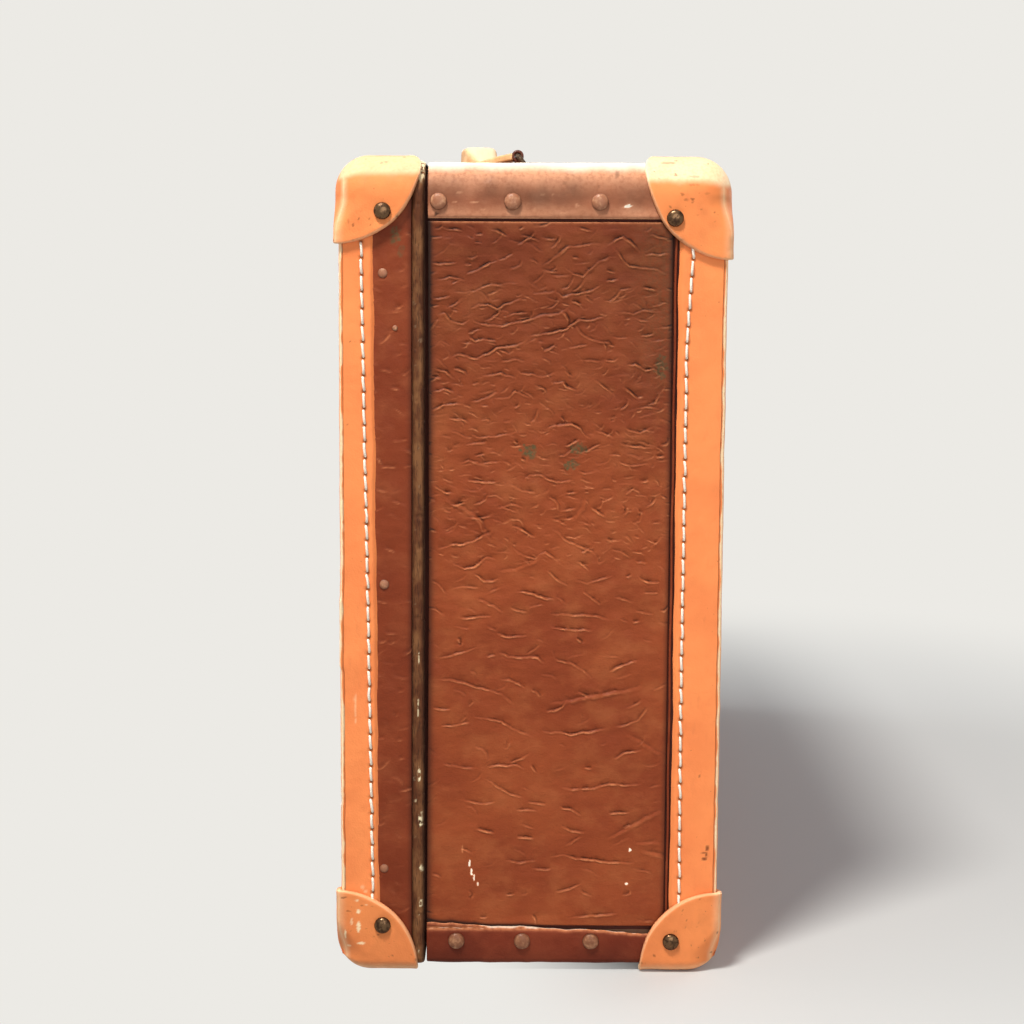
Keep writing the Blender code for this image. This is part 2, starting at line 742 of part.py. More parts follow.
def make_hasp(side, middle, case_top_z):
    """The plate on the lid with its pin, and the flap that turns on it."""
    end = side_name(side)
    plate_z = lid_top_surface_z + fit_gap
    pin_y = lid_mouth_y - hasp_setback
    flap_z = case_top_z + fit_gap
    pin_z = flap_z + hasp_thickness - hasp_knuckle_radius - fit_gap / 2
    half = hasp_width / 2
    plate_half = hasp_plate_width / 2
    ear = (plate_half - half - fit_gap) / 2
    plate = box(f"hasp_plate_{end}", (middle - plate_half, lid_mouth_y - hasp_plate_depth, plate_z),
                (middle + plate_half, lid_mouth_y, plate_z + hasp_plate_thickness), PARTS, BRASS)
    for direction in (1, -1):
        ear_x = sorted((middle + direction * (half + fit_gap), middle + direction * (half + fit_gap + ear)))
        lug = box(f"hasp_lug_{end}_{direction}",
                  (ear_x[0] + fit_gap, pin_y - hasp_knuckle_radius + fit_gap, plate_z + fit_gap),
                  (ear_x[1] - fit_gap, pin_y + hasp_knuckle_radius - fit_gap, pin_z), CUTTERS)
        boolean(plate, lug, "UNION")
        eye = rod(f"hasp_eye_{end}_{direction}", (ear_x[0], pin_y, pin_z), (ear_x[1], pin_y, pin_z),
                  hasp_knuckle_radius, CUTTERS, sides=hole_sides)
        boolean(plate, eye, "UNION")
    pin = rod(f"hasp_pin_{end}", (middle - half - ear, pin_y, pin_z), (middle + half + ear, pin_y, pin_z),
              hasp_pin_radius, CUTTERS, sides=hole_sides)
    boolean(plate, pin, "UNION")
    flap = box(f"hasp_{end}", (middle - half, pin_y, flap_z),
               (middle + half, pin_y + hasp_reach, flap_z + hasp_thickness), PARTS, BRASS)
    knuckle = rod(f"hasp_knuckle_{end}", (middle - half, pin_y, pin_z), (middle + half, pin_y, pin_z),
                  hasp_knuckle_radius, CUTTERS, sides=hole_sides)
    boolean(flap, knuckle, "UNION")
    reach = half + cut_overrun
    bore = rod(f"hasp_bore_{end}", (middle - reach, pin_y, pin_z), (middle + reach, pin_y, pin_z),
               hasp_pin_radius + fit_gap, CUTTERS, sides=hole_sides)
    boolean(flap, bore)
    return set_origin(flap, (middle, pin_y, pin_z))


def make_handle_bracket(side):
    """A plate on the top wall with a barrel that the ring's straight side turns in."""
    end = side_name(side)
    middle = side * handle_spacing / 2
    plate_z = top_surface_z + fit_gap
    bracket = box(f"handle_bracket_{end}", (middle - bracket_length / 2, -bracket_width / 2, plate_z),
                  (middle + bracket_length / 2, bracket_width / 2, plate_z + bracket_thickness), PARTS, STEEL)
    half = barrel_length / 2
    web = box(f"bracket_web_{end}", (middle - half, -barrel_web_width / 2, plate_z + bracket_thickness / 2),
              (middle + half, barrel_web_width / 2, pivot_z), CUTTERS)
    boolean(bracket, web, "UNION")
    barrel = rod(f"bracket_barrel_{end}", (middle - half, 0, pivot_z), (middle + half, 0, pivot_z),
                 barrel_radius, CUTTERS)
    boolean(bracket, barrel, "UNION")
    bore = rod(f"bracket_bore_{end}", (middle - half - cut_overrun, 0, pivot_z),
               (middle + half + cut_overrun, 0, pivot_z), ring_wire_radius + running_gap, CUTTERS)
    return boolean(bracket, bore)


def make_handle_ring(side):
    """A rounded wire loop from the bracket's barrel up to the eye of the handle."""
    name = f"handle_ring_{side_name(side)}"
    reach = math.hypot(ring_lean, ring_rise)
    lean_angle = math.atan2(ring_rise, -ring_lean)
    curve = bpy.data.curves.new(name, "CURVE")
    curve.dimensions = "3D"
    curve.bevel_depth = ring_wire_radius
    curve.bevel_resolution = wire_resolution
    spline = curve.splines.new("POLY")
    outline = rounded_outline(ring_width, reach, ring_rounding, ring_corner_steps)
    spline.points.add(len(outline) - 1)
    for point, (along, up) in zip(spline.points, outline):
        point.co = (along, up + reach / 2, 0, 1)
    spline.use_cyclic_u = True
    ring = bpy.data.objects.new(name, curve)
    PARTS.objects.link(ring)
    ring.location = (side * handle_spacing / 2, 0, pivot_z)
    ring.rotation_euler = (lean_angle, 0, 0)
    solid = curve_to_mesh(ring, PARTS, STEEL)
    solid.data.shade_smooth()
    return solid


def grip_path():
    """Points along the grip's middle from the left eye to the right one, each with its share of the bend."""
    eye_x = handle_spacing / 2
    straight_x = eye_x - grip_bend_radius
    eye_y = -ring_lean
    lead = grip_offset - ring_lean - grip_bend_radius
    half = []
    for step in range(grip_straight_steps):
        half.append((straight_x * step / grip_straight_steps, -grip_offset, 0.0))
    for step in range(grip_bend_steps + 1):
        share = step / grip_bend_steps
        angle = math.radians(90) * share
        half.append((straight_x + grip_bend_radius * math.sin(angle),
                     eye_y - lead - grip_bend_radius * math.cos(angle), share))
    left = [(-x, y, share) for x, y, share in reversed(half[1:])]
    return left + half


def make_grip():
    """The leather grip: a thick rounded core that flattens into a strap with an eye at each end."""
    core_z = top_surface_z + grip_lift + grip_thickness / 2
    eye_z = pivot_z + ring_rise
    path = grip_path()
    form = bmesh.new()
    rings = []
    for index, (x, y, share) in enumerate(path):
        ease = share * share * (3 - 2 * share)
        width = grip_width + (strap_width - grip_width) * ease
        thickness = grip_thickness + (strap_thickness - grip_thickness) * ease
        middle = Vector((x, y, core_z + (eye_z - core_z) * ease))
        before = path[max(index - 1, 0)]
        after = path[min(index + 1, len(path) - 1)]
        along = Vector((after[0] - before[0], after[1] - before[1], 0)).normalized()
        if index in (0, len(path) - 1):
            along = Vector((0, -1 if index == 0 else 1, 0))
        across = Vector((0, 0, 1)).cross(along)
        ring = []
        for corner in range(grip_sides):
            angle = 2 * math.pi * corner / grip_sides
            part_a = math.copysign(abs(math.cos(angle)) ** grip_fullness, math.cos(angle))
            part_b = math.copysign(abs(math.sin(angle)) ** grip_fullness, math.sin(angle))
            ring.append(form.verts.new(middle + across * width / 2 * part_a
                                       + Vector((0, 0, 1)) * thickness / 2 * part_b))
        rings.append(ring)
    for first, second in zip(rings, rings[1:]):
        for corner in range(grip_sides):
            following = (corner + 1) % grip_sides
            form.faces.new((first[corner], first[following], second[following], second[corner]))
    form.faces.new(rings[0])
    form.faces.new(rings[-1])
    grip = from_bmesh("handle_grip", form, PARTS, LEATHER, smooth=True)
    half = strap_width / 2
    for operation, radius, reach in (
        ("UNION", eye_radius, half),
        ("DIFFERENCE", ring_wire_radius + running_gap, half + cut_overrun),
    ):
        for side in (1, -1):
            middle = side * handle_spacing / 2
            eye = rod(f"grip_{operation.lower()}_{side_name(side)}", (middle - reach, -ring_lean, eye_z),
                      (middle + reach, -ring_lean, eye_z), radius, CUTTERS)
            boolean(grip, eye, operation)
    return set_origin(grip, (0, 0, pivot_z))


def make_case():
    make_tray("base_tray", base_mouth_y, back_face_y)
    make_tray("lid_tray", lid_mouth_y, lid_face_y)
    make_binding("base_binding", back_face_y, base_binding_y)
    make_binding("lid_binding", lid_face_y, lid_binding_y)
    make_face_panel("back_panel", back_face_y)
    make_face_panel("lid_panel", lid_face_y)
    make_wrap("base_top_wall", top_flap_z, case_height + cut_overrun)
    bottom_wall = make_wrap("base_bottom_wall", -cut_overrun, bottom_flap_z)
    make_lid_band()
    bead = make_bead()
    for side in (1, -1):
        notch = knuckle_notch(side)
        boolean(bottom_wall, notch)
        boolean(bead, notch)
        make_end_panel(side)
        for name, level, y, z in rivet_places(side):
            make_rivet(name, side, level, y, z)
    make_caps()
    make_mouth_band()


def make_fittings():
    for side in (1, -1):
        make_hinge(side)
        make_lock(side)
        make_handle_bracket(side)
        make_handle_ring(side)
    make_grip()


make_case()
make_fittings()
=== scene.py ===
"""The looks of an old cardboard suitcase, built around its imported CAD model.

X runs along the case, Y from the lid face to the back and Z up, in metres, as in the frame. Right is +X,
the end that the camera faces. Sheets lie at a level: their height above the bare board of the tray.
"""

import json
import math

import bpy
import numpy as np
from mathutils import Matrix, Vector, kdtree

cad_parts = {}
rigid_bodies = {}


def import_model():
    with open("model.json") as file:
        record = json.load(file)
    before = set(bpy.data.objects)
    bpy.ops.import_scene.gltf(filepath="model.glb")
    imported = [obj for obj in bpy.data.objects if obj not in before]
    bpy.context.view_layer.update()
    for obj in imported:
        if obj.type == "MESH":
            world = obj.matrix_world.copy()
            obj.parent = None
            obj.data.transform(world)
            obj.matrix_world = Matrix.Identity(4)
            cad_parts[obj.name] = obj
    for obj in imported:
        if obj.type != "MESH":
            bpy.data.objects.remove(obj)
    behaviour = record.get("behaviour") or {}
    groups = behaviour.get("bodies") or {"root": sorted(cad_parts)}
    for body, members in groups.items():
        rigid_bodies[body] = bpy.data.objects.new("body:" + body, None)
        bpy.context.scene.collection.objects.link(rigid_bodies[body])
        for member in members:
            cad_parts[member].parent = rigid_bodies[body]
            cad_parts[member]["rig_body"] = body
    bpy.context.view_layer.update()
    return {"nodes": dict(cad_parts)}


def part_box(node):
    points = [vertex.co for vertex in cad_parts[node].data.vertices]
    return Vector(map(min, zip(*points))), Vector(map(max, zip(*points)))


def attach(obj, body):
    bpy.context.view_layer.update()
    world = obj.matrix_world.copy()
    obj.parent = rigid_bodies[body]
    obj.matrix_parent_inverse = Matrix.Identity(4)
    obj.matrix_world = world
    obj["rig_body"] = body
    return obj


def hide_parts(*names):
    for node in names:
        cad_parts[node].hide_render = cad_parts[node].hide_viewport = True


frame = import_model()

MM = 0.001
SIDES = {1: "right", -1: "left"}

# Planes and levels, read from the frame
base_low, base_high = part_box("base_tray")
half_length = base_high.x
middle_z = (base_low.z + base_high.z) / 2
half_height = (base_high.z - base_low.z) / 2
base_mouth_y, back_face_y = base_low.y, base_high.y
lid_face_y, lid_mouth_y = [corner.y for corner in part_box("lid_tray")]
panel_level, wrap_level, binding_level, cap_level = [
    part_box(name)[1].x - half_length
    for name in ("base_end_panel_right", "base_top_wall", "base_binding", "base_cap_top_right")]

# Levels of what only the scene has: the paper and the welt in the panel's groove, and the lining
backing_level = 0.25 * MM
welt_level = 0.7 * MM
welt_radius = 0.6 * MM
lining_level = -2.75 * MM

# Roundings of the bare board: in the plan of the outline, and of its rims near and away from the corners
corner_radius = 13.7 * MM
foot_radius = 0.8 * MM
full_rim = 8.0 * MM
cap_rim = 11.0 * MM
tight_rim = -1.3 * MM
end_fade = (0 * MM, 18 * MM)
long_fade = (30 * MM, 90 * MM)
window_radius = 7 * MM

# The rounded edges of the metal fittings
fitting_rounding = 0.3 * MM

# How deep a sheet's cut edge reaches before it meets the board
fold_depth = 1.5 * MM

# Bumps of each sheet: their height and width
panel_puff = (0.36 * MM, 26 * MM)
small_panel_puff = (0.2 * MM, 9 * MM)
face_puff = (0.45 * MM, 40 * MM)
strip_ripple = (0.26 * MM, 12 * MM)
torn_edge = (0.5 * MM, 9 * MM)
band_ripple = (0.3 * MM, 18 * MM)
bead_wobble = (0.28 * MM, 22 * MM)
binding_wave = (0.3 * MM, 30 * MM)
binding_ripple = (0.16 * MM, 11 * MM)
raw_edge_fray = (0.5 * MM, 8 * MM)
cap_ripple = (0.12 * MM, 14 * MM)
lining_bubbles = (0.25 * MM, 50 * MM)
grip_creases = (0.22 * MM, 7 * MM)

# Mesh steps across a sheet, and the rounding of its cut edges
strip_edge = (1.0 * MM, 0.6 * MM)
band_edge = (0.8 * MM, 0.4 * MM)
bead_edge = (0.45 * MM, 1.7 * MM)
binding_side_edge = (0.8 * MM, 0.7 * MM)
binding_face_edge = (1.1 * MM, 0.7 * MM)
face_edges = ((1.6 * MM, 0.5 * MM), (1.4 * MM, 0.5 * MM))
panel_rounding = 0.5 * MM

# Mesh steps along the outline
fine_step = 0.7 * MM
coarse_step = 1.8 * MM


def smooth_share(value, low, high):
    """0 below low, 1 above high and a smooth rise between them."""
    share = np.clip((value - low) / (high - low), 0, 1)
    return share * share * (3 - 2 * share)


def bell(offset, width):
    """1 where the offset is 0, falling off on both sides of it."""
    return np.exp(-((offset / width) ** 2))


def places_at(x, y, z):
    """Arrays of X, Y and Z as one array of places."""
    return np.stack([x, y, z], axis=-1)


def add_object(name, data):
    item = bpy.data.objects.new(name, data)
    bpy.context.scene.collection.objects.link(item)
    return item


def value_noise(u, v, cell, seed):
    """Smooth noise from -1 to 1 at the points (u, v), with about one bump in each cell."""
    size = 64
    lattice = np.random.default_rng(seed).uniform(-1, 1, (size, size))
    a = np.asarray(u) / cell
    b = np.asarray(v) / cell
    i = np.floor(a).astype(int)
    j = np.floor(b).astype(int)
    s = smooth_share(a - i, 0, 1)
    t = smooth_share(b - j, 0, 1)
    i0, i1, j0, j1 = i % size, (i + 1) % size, j % size, (j + 1) % size
    low = lattice[i0, j0] * (1 - s) + lattice[i1, j0] * s
    high = lattice[i0, j1] * (1 - s) + lattice[i1, j1] * s
    return low * (1 - t) + high * t


def layered_noise(u, v, cell, seed, layers=3):
    """Value noise with finer layers added, each half as strong."""
    return sum(value_noise(u, v, cell / 2 ** k, seed + k) / 2 ** k for k in range(layers))


def uneven(u, v, bumps, seed, layers=3):
    """Layered noise in metres, from the height and the width of its bumps."""
    return bumps[0] * layered_noise(u, v, bumps[1], seed, layers)


class Shape:
    """Points, faces and painted values of one piece, gathered before it becomes a mesh."""

    def __init__(self):
        self.points = []
        self.faces = []
        # Dark paint: real dirt, and painted shade in grooves, creases, holes and under edges. Pale paint:
        # real wear, and painted highlight on crease lips, rims and rounded tops
        self.paint = {"wear": [], "soil": [], "stain": []}
        self.count = 0

    def grid(self, points, wrap_rows=False, wrap_columns=False, flip=False, **paint):
        """A sheet of quads. Its normals point along (row) x (column), or back if flipped."""
        rows, columns = points.shape[:2]
        index = np.arange(self.count, self.count + rows * columns).reshape(rows, columns)
        if wrap_rows:
            index = np.vstack([index, index[:1]])
        if wrap_columns:
            index = np.hstack([index, index[:, :1]])
        corners = [index[:-1, :-1], index[1:, :-1], index[1:, 1:], index[:-1, 1:]]
        quads = np.stack(corners, axis=-1).reshape(-1, 4)
        self.faces.extend(quads[:, ::-1 if flip else 1].tolist())
        self.points.append(points.reshape(-1, 3))
        for name, values in self.paint.items():
            values.append(np.broadcast_to(paint.get(name, 0.0), (rows, columns)).ravel())
        self.count += rows * columns

    def cover(self, start, stop, flip=False):
        """One face over the points from start to stop."""
        self.faces.append(list(range(start, stop))[::-1 if flip else 1])

    def tube(self, path, radii, sides=8, closed=False, flatten=1.0):
        """A tube along the path, with rounded ends unless closed. Flatten is its height over its width."""
        path = np.asarray(path, float)
        radii = np.broadcast_to(radii, len(path)).astype(float)
        if not closed:
            start = path[:1] - (path[1] - path[0]) / np.linalg.norm(path[1] - path[0]) * radii[0] * 0.6
            stop = path[-1:] + (path[-1] - path[-2]) / np.linalg.norm(path[-1] - path[-2]) * radii[-1] * 0.6
            path = np.vstack([start, path, stop])
            radii = np.concatenate([radii[:1] * 0.55, radii, radii[-1:] * 0.55])
        along = np.roll(path, -1, 0) - np.roll(path, 1, 0)
        if not closed:
            along[0] = path[1] - path[0]
            along[-1] = path[-1] - path[-2]
        along /= np.linalg.norm(along, axis=1)[:, None]
        normal = np.array([0.31, 0.24, 0.92])
        frames = []
        for direction in along:
            normal = normal - direction * (normal @ direction)
            normal /= np.linalg.norm(normal)
            frames.append((normal, np.cross(direction, normal)))
        frames = np.array(frames)
        twist = 0.0
        if closed:
            twist = math.atan2(frames[0, 1] @ frames[-1, 0], frames[0, 0] @ frames[-1, 0])
        angles = np.arange(sides) * 2 * math.pi / sides
        turn = angles[None, :] - twist * np.linspace(0, 1, len(path))[:, None]
        ring = np.cos(turn)[..., None] * frames[:, None, 0]
        ring = ring + np.sin(turn)[..., None] * flatten * frames[:, None, 1]
        first = self.count
        self.grid(path[:, None] + ring * radii[:, None, None], wrap_rows=closed, wrap_columns=True)
        if not closed:
            self.cover(first, first + sides, flip=True)
            self.cover(self.count - sides, self.count)

    def turned(self, base, axis, across, profile, sides, soil):
        """A turned form. Profile holds radii and heights from its outer foot to its tip."""
        other = np.cross(axis, across)
        angles = np.arange(sides) * 2 * math.pi / sides
        spokes = np.cos(angles)[:, None] * np.asarray(across) + np.sin(angles)[:, None] * other
        rows = [np.asarray(base) + spokes * radius + np.asarray(axis) * height for radius, height in profile]
        self.grid(np.array(rows), wrap_columns=True, flip=True, soil=np.array(soil)[:, None])
        self.cover(self.count - sides, self.count)

    def piece(self, name, material, body, slot, *replaced):
        mesh = bpy.data.meshes.new(name)
        mesh.from_pydata(np.vstack(self.points).tolist(), [], self.faces)
        for key, values in self.paint.items():
            attribute = mesh.attributes.new(key, "FLOAT", "POINT")
            attribute.data.foreach_set("value", np.concatenate(values).astype(np.float32))
        mesh.shade_smooth()
        mesh.materials.append(material)
        item = add_object(name, mesh)
        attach(item, body)
        if replaced:
            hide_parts(*replaced)


def make_sheet(name, material, body, slot, replaced, points, **options):
    """A piece of one grid, in the place of the replaced node."""
    shape = Shape()
    shape.grid(points, **options)
    shape.piece(name, material, body, slot, replaced)


def outline_point(turns, half_x, half_z, radius, low_radius=None):
    """Places X and Z on a rounded rectangle, whose lower corners may be tighter.

    Turns run from 0 at the foot of the right side, up and round: a whole number for each side and corner.
    """
    low_radius = radius if low_radius is None else low_radius
    stretch = np.floor(turns).astype(int) % 8
    share = turns - np.floor(turns)
    quarter = stretch // 2
    on_corner = stretch % 2 == 1
    angle = (quarter + np.where(on_corner, share, 0)) * (math.pi / 2)
    along = np.where(on_corner, 1.0, share)
    before = np.where((quarter == 1) | (quarter == 2), radius, low_radius)
    after = np.where(quarter < 2, radius, low_radius)
    before_x = (half_x - before) * np.array([1, 1, -1, -1])[quarter]
    before_z = (half_z - before) * np.array([-1, 1, 1, -1])[quarter]
    after_x = (half_x - after) * np.array([1, -1, -1, 1])[quarter]
    after_z = (half_z - after) * np.array([1, 1, -1, -1])[quarter]
    rounding = before + (after - before) * along
    x = before_x + (after_x - before_x) * along + rounding * np.cos(angle)
    z = before_z + (after_z - before_z) * along + rounding * np.sin(angle)
    return x, z


def board_outline(turns, level, folded=False):
    """X and Z at a level above the bare board, where folded edges reach down to its rounder lower corners."""
    low_radius = np.where(folded, corner_radius, foot_radius) + level
    return outline_point(turns, half_length + level, half_height + level, corner_radius + level, low_radius)


def steps_between(low, high, step):
    return np.linspace(low, high, max(2, int(round(abs(high - low) / step)) + 1))


def outline_turns(start=0.0, stop=8.0, fine=fine_step, coarse=coarse_step):
    """Turns from start to stop, closer together at the right end, which is seen from near by."""
    lengths = [2 * half_height, 20 * MM, 2 * half_length, 20 * MM] * 2
    found = []
    for stretch in range(math.floor(start), math.ceil(stop)):
        step = fine if stretch % 8 in (0, 1, 7) else coarse
        low, high = max(start, stretch), min(stop, stretch + 1)
        count = max(2, round(lengths[stretch % 8] * (high - low) / step))
        found.append(np.linspace(low, high, count, endpoint=False))
    turns = np.concatenate(found)
    return turns if stop - start >= 8 else np.append(turns, stop)


def rim_radius(turns, level):
    """The rounding between side and face: tight along the sides and full towards the outline's corners."""
    stretch = np.floor(turns).astype(int) % 8
    share = turns - np.floor(turns)
    nearest = np.minimum(share, 1 - share)
    away_end = nearest * 2 * half_height
    away_long = nearest * 2 * half_length
    fade = np.where(stretch % 4 == 0, smooth_share(away_end, *end_fade), smooth_share(away_long, *long_fade))
    fade = np.where(stretch % 2 == 1, 0.0, fade)
    return np.maximum(full_rim + (tight_rim - full_rim) * fade + level, 0.1 * MM)


def round_over(inset, drop, radius):
    """Moves points of a sharp rim onto its rounding. Inset is from the side, and drop is from the face."""
    a = radius - drop
    b = radius - inset
    inside = (a > 0) & (b > 0)
    longest = np.maximum(a, b)
    scale = np.where(inside, longest / np.maximum(np.hypot(a, b), 1e-9), 1.0)
    return radius - b * scale, radius - a * scale


def skin_point(turns, inset, drop, level, facing, face_plane):
    """Places points on the case's skin. Facing is -1 on the lid side and 1 on the back."""
    inset, drop = round_over(inset, drop, rim_radius(turns, level))
    half_x = half_length + level - inset
    half_z = half_height + level - inset
    radius = np.minimum(np.maximum(corner_radius + level - inset, window_radius), np.minimum(half_x, half_z))
    low_radius = np.where(inset > 8 * MM, window_radius, foot_radius + level + 0.3 * inset)
    x, z = outline_point(turns, half_x, half_z, radius, low_radius)
    return places_at(x, face_plane + facing * (level - drop) + 0 * x, z + middle_z)


def side_height(turns):
    """X and the height of each turn's point on the bare outline."""
    x, z = board_outline(turns, 0)
    return x, z + middle_z


def edge_levels(low, high, step, rounding, depth=1.6 * MM):
    """Places across a sheet from low to high, and how far each lies under its surface.

    The first and last ones fold down round the sheet's cut edges.
    """
    across = steps_between(low + rounding, high - rounding, step)
    nearly = rounding * 0.3
    places = [low, low, low + nearly, *across, high - nearly, high, high]
    sunk = [depth, rounding * 0.8, rounding * 0.2, *(0 * across), rounding * 0.2, rounding * 0.8, depth]
    return np.array(places), np.array(sunk)


def add_node(tree, kind, inputs=(), **settings):
    """A new node, with a value or another node's output for each of its inputs, in order or by name."""
    node = tree.nodes.new(f"ShaderNode{kind}")
    for name, value in settings.items():
        setattr(node, name, value)
    for key, value in inputs.items() if isinstance(inputs, dict) else enumerate(inputs):
        if isinstance(value, bpy.types.NodeSocket):
            tree.links.new(value, node.inputs[key])
        else:
            node.inputs[key].default_value = value
    return node


class Finish:
    """A procedural material: colours laid over its base by noise and paint, on places in metres."""

    def __init__(self, name, base, roughness=0.6, metallic=0.0, coat=0.0, specular=0.3):
        self.material = bpy.data.materials.new(name)
        self.material.use_nodes = True
        self.tree = self.material.node_tree
        self.shader = self.tree.nodes["Principled BSDF"]
        for socket, value in (("Roughness", roughness), ("Metallic", metallic), ("Coat Weight", coat),
                              ("Specular IOR Level", specular)):
            self.shader.inputs[socket].default_value = value
        self.place = self.node("TexCoord").outputs["Object"]
        self.body = colour(*base)
        self.relief = {}

    def node(self, kind, inputs=(), **settings):
        return add_node(self.tree, kind, inputs, **settings)

    def noise(self, size, detail, stretch=None, distortion=0.0):
        """Noise from 0 to 1 with features about as large as size, in metres."""
        place = self.place
        if stretch:
            place = self.node("Mapping", {"Vector": place, "Scale": stretch}).outputs["Vector"]
        return self.node("TexNoise", {"Vector": place, "Scale": 1 / size, "Detail": detail, "Roughness": 0.55,
                                      "Distortion": distortion}).outputs["Fac"]

    def cells(self, size):
        return self.node("TexVoronoi", {"Vector": self.place, "Scale": 1 / size}).outputs["Distance"]

    def painted(self, name):
        return self.node("Attribute", attribute_name=name).outputs["Fac"]

    def level(self, value, low, high, to_low=0.0, to_high=1.0):
        """A value that rises smoothly, between low and high, from to_low to to_high."""
        ends = {"Value": value, "From Min": low, "From Max": high, "To Min": to_low, "To Max": to_high}
        return self.node("MapRange", ends, interpolation_type="SMOOTHSTEP").outputs["Result"]

    def patches(self, size, detail, *ends, stretch=None, distortion=0.0):
        """Noise, levelled between the ends."""
        return self.level(self.noise(size, detail, stretch, distortion), *ends)

    def times(self, first, second, operation="MULTIPLY"):
        return self.node("Math", (first, second), operation=operation).outputs[0]

    def lay(self, tone, share, strength=None):
        """Lays a screen colour over those before, by share."""
        if strength is not None:
            share = self.times(share, strength)
        mix = self.node("Mix", {0: share, 6: self.body, 7: colour(*tone)}, data_type="RGBA")
        self.body = mix.outputs[2]

    def emboss(self, height, distance):
        """Raises a height from 0 to 1 over the relief before it."""
        bump = self.node("Bump", {"Distance": distance, "Height": height, **self.relief})
        self.relief = {"Normal": bump.outputs["Normal"]}

    def done(self, roughness=None):
        parts = {"Base Color": self.body, **self.relief}
        if roughness is not None:
            parts["Roughness"] = roughness
        for socket, value in parts.items():
            self.tree.links.new(value, self.shader.inputs[socket])
        return self.material


def colour(red, green, blue):
    """An 0 to 255 screen colour as the linear one that a shader takes."""
    parts = [part / 255 for part in (red, green, blue)]
    return (*[part / 12.92 if part <= 0.04045 else ((part + 0.055) / 1.055) ** 2.4 for part in parts], 1.0)


def fibre_finish(name, base, dark, light, grain=1.0, rubbed=(232, 148, 98)):
    """Painted fibre sheet: mottled brown, a fine level grain and green grey stains, pale on ridges with wear
    and painted highlight, and dark with dirt and painted shade.
    """
    finish = Finish(name, base, specular=0.1)
    finish.lay(dark, finish.patches(45 * MM, 3, 0.35, 0.7), 0.6)
    finish.lay(light, finish.patches(16 * MM, 5, 0.42, 0.72, stretch=(1, 1, 1.3)), 0.5)
    finish.lay(dark, finish.patches(1.1 * MM, 2, 0.62, 0.75), 0.35)
    # Wear, and painted highlight on crease lips and rounded tops
    finish.lay(rubbed, finish.painted("wear"), finish.patches(2 * MM, 3, 0.3, 0.6, 0.45, 1.0))
    finish.lay((250, 240, 220), finish.level(finish.painted("wear"), 0.6, 1.0))
    finish.lay((70, 84, 56), finish.painted("stain"), finish.patches(1.6 * MM, 3, 0.35, 0.6, 0.3, 1.5))
    # Dirt, and painted shade in grooves, creases and under edges
    finish.lay((40, 24, 18), finish.painted("soil"))
    finish.emboss(finish.noise(1.0 * MM, 3, (1, 0.8, 1.2)), 0.12 * MM * grain)
    finish.emboss(finish.noise(5 * MM, 3, (1, 0.8, 1.2)), 0.28 * MM * grain)
    return finish.done(finish.patches(6 * MM, 4, 0.3, 0.7, 0.42, 0.58))


def tan_finish(name, base, dark):
    """Tan leather cloth: orange tan with soft blotches, cream where it is worn and on painted highlights
    along its rims and tops, and dark with dirt and with painted shade in needle holes and grooves.
    """
    finish = Finish(name, base, specular=0.15)
    finish.lay(dark, finish.patches(30 * MM, 4, 0.35, 0.7), 0.6)
    finish.lay((214, 118, 70), finish.patches(5 * MM, 5, 0.55, 0.8, stretch=(1, 1.4, 0.5)), 0.35)
    finish.lay((120, 62, 34), finish.patches(1.6 * MM, 3, 0.7, 0.76), 0.5)
    finish.lay((250, 226, 182), finish.painted("wear"), finish.patches(1.5 * MM, 4, 0.3, 0.6, 0.8, 1.0))
    finish.lay((58, 22, 12), finish.painted("soil"))
    finish.emboss(finish.cells(0.8 * MM), 0.05 * MM)
    finish.emboss(finish.noise(7 * MM, 4), 0.3 * MM)
    return finish.done(finish.patches(5 * MM, 3, 0.3, 0.7, 0.5, 0.66))


def bead_finish():
    """The lid's bead: olive brown over dark leather, chipped pale, with a painted highlight at its top and
    painted shade along its edges.
    """
    finish = Finish("olive_bead", (88, 48, 26), specular=0.15)
    finish.lay((124, 82, 50), finish.patches(14 * MM, 4, 0.4, 0.62, stretch=(1, 2, 1)))
    finish.lay((46, 24, 16), finish.patches(1.4 * MM, 4, 0.5, 0.66, stretch=(1, 2.5, 0.35)), 0.6)
    finish.lay((240, 222, 180), finish.painted("wear"), finish.patches(3 * MM, 4, 0.4, 0.5))
    finish.lay((34, 18, 12), finish.painted("soil"))
    finish.emboss(finish.noise(1.6 * MM, 4, (1, 1, 0.4)), 0.25 * MM)
    return finish.done()


def metal_finish(name, bright, dull, roughness):
    """Old plated metal: a bright ground under dull brown spots, with fine scratches."""
    finish = Finish(name, bright, roughness, metallic=0.85)
    tarnish = finish.patches(2.2 * MM, 5, 0.42, 0.66, distortion=0.4)
    finish.lay(dull, tarnish)
    finish.lay((36, 24, 16), finish.painted("soil"))
    finish.emboss(finish.noise(0.8 * MM, 2), 0.015 * MM)
    return finish.done(finish.level(tarnish, 0.0, 1.0, roughness, roughness + 0.18))


def painted_metal_finish(name, base, rubbed):
    """Strip rivets and tacks, painted along with the fibre and rubbed."""
    finish = Finish(name, base, roughness=0.42)
    finish.lay(rubbed, finish.patches(2.5 * MM, 4, 0.45, 0.75))
    finish.lay((70, 34, 22), finish.painted("soil"))
    finish.emboss(finish.noise(1.4 * MM, 2), 0.06 * MM)
    return finish.done()


def paper_finish(name, base, dark, weave):
    """Paper or board: a pale ground with fibres, soft stains and a fine tooth."""
    finish = Finish(name, base, roughness=0.85)
    finish.lay(dark, finish.patches(60 * MM, 5, 0.45, 0.75))
    finish.lay(dark, finish.patches(weave, 4, 0.55, 0.75, stretch=(1, 1, 0.3)), 0.5)
    finish.lay((42, 26, 20), finish.painted("soil"))
    finish.emboss(finish.noise(weave, 4), 0.12 * MM)
    return finish.done()


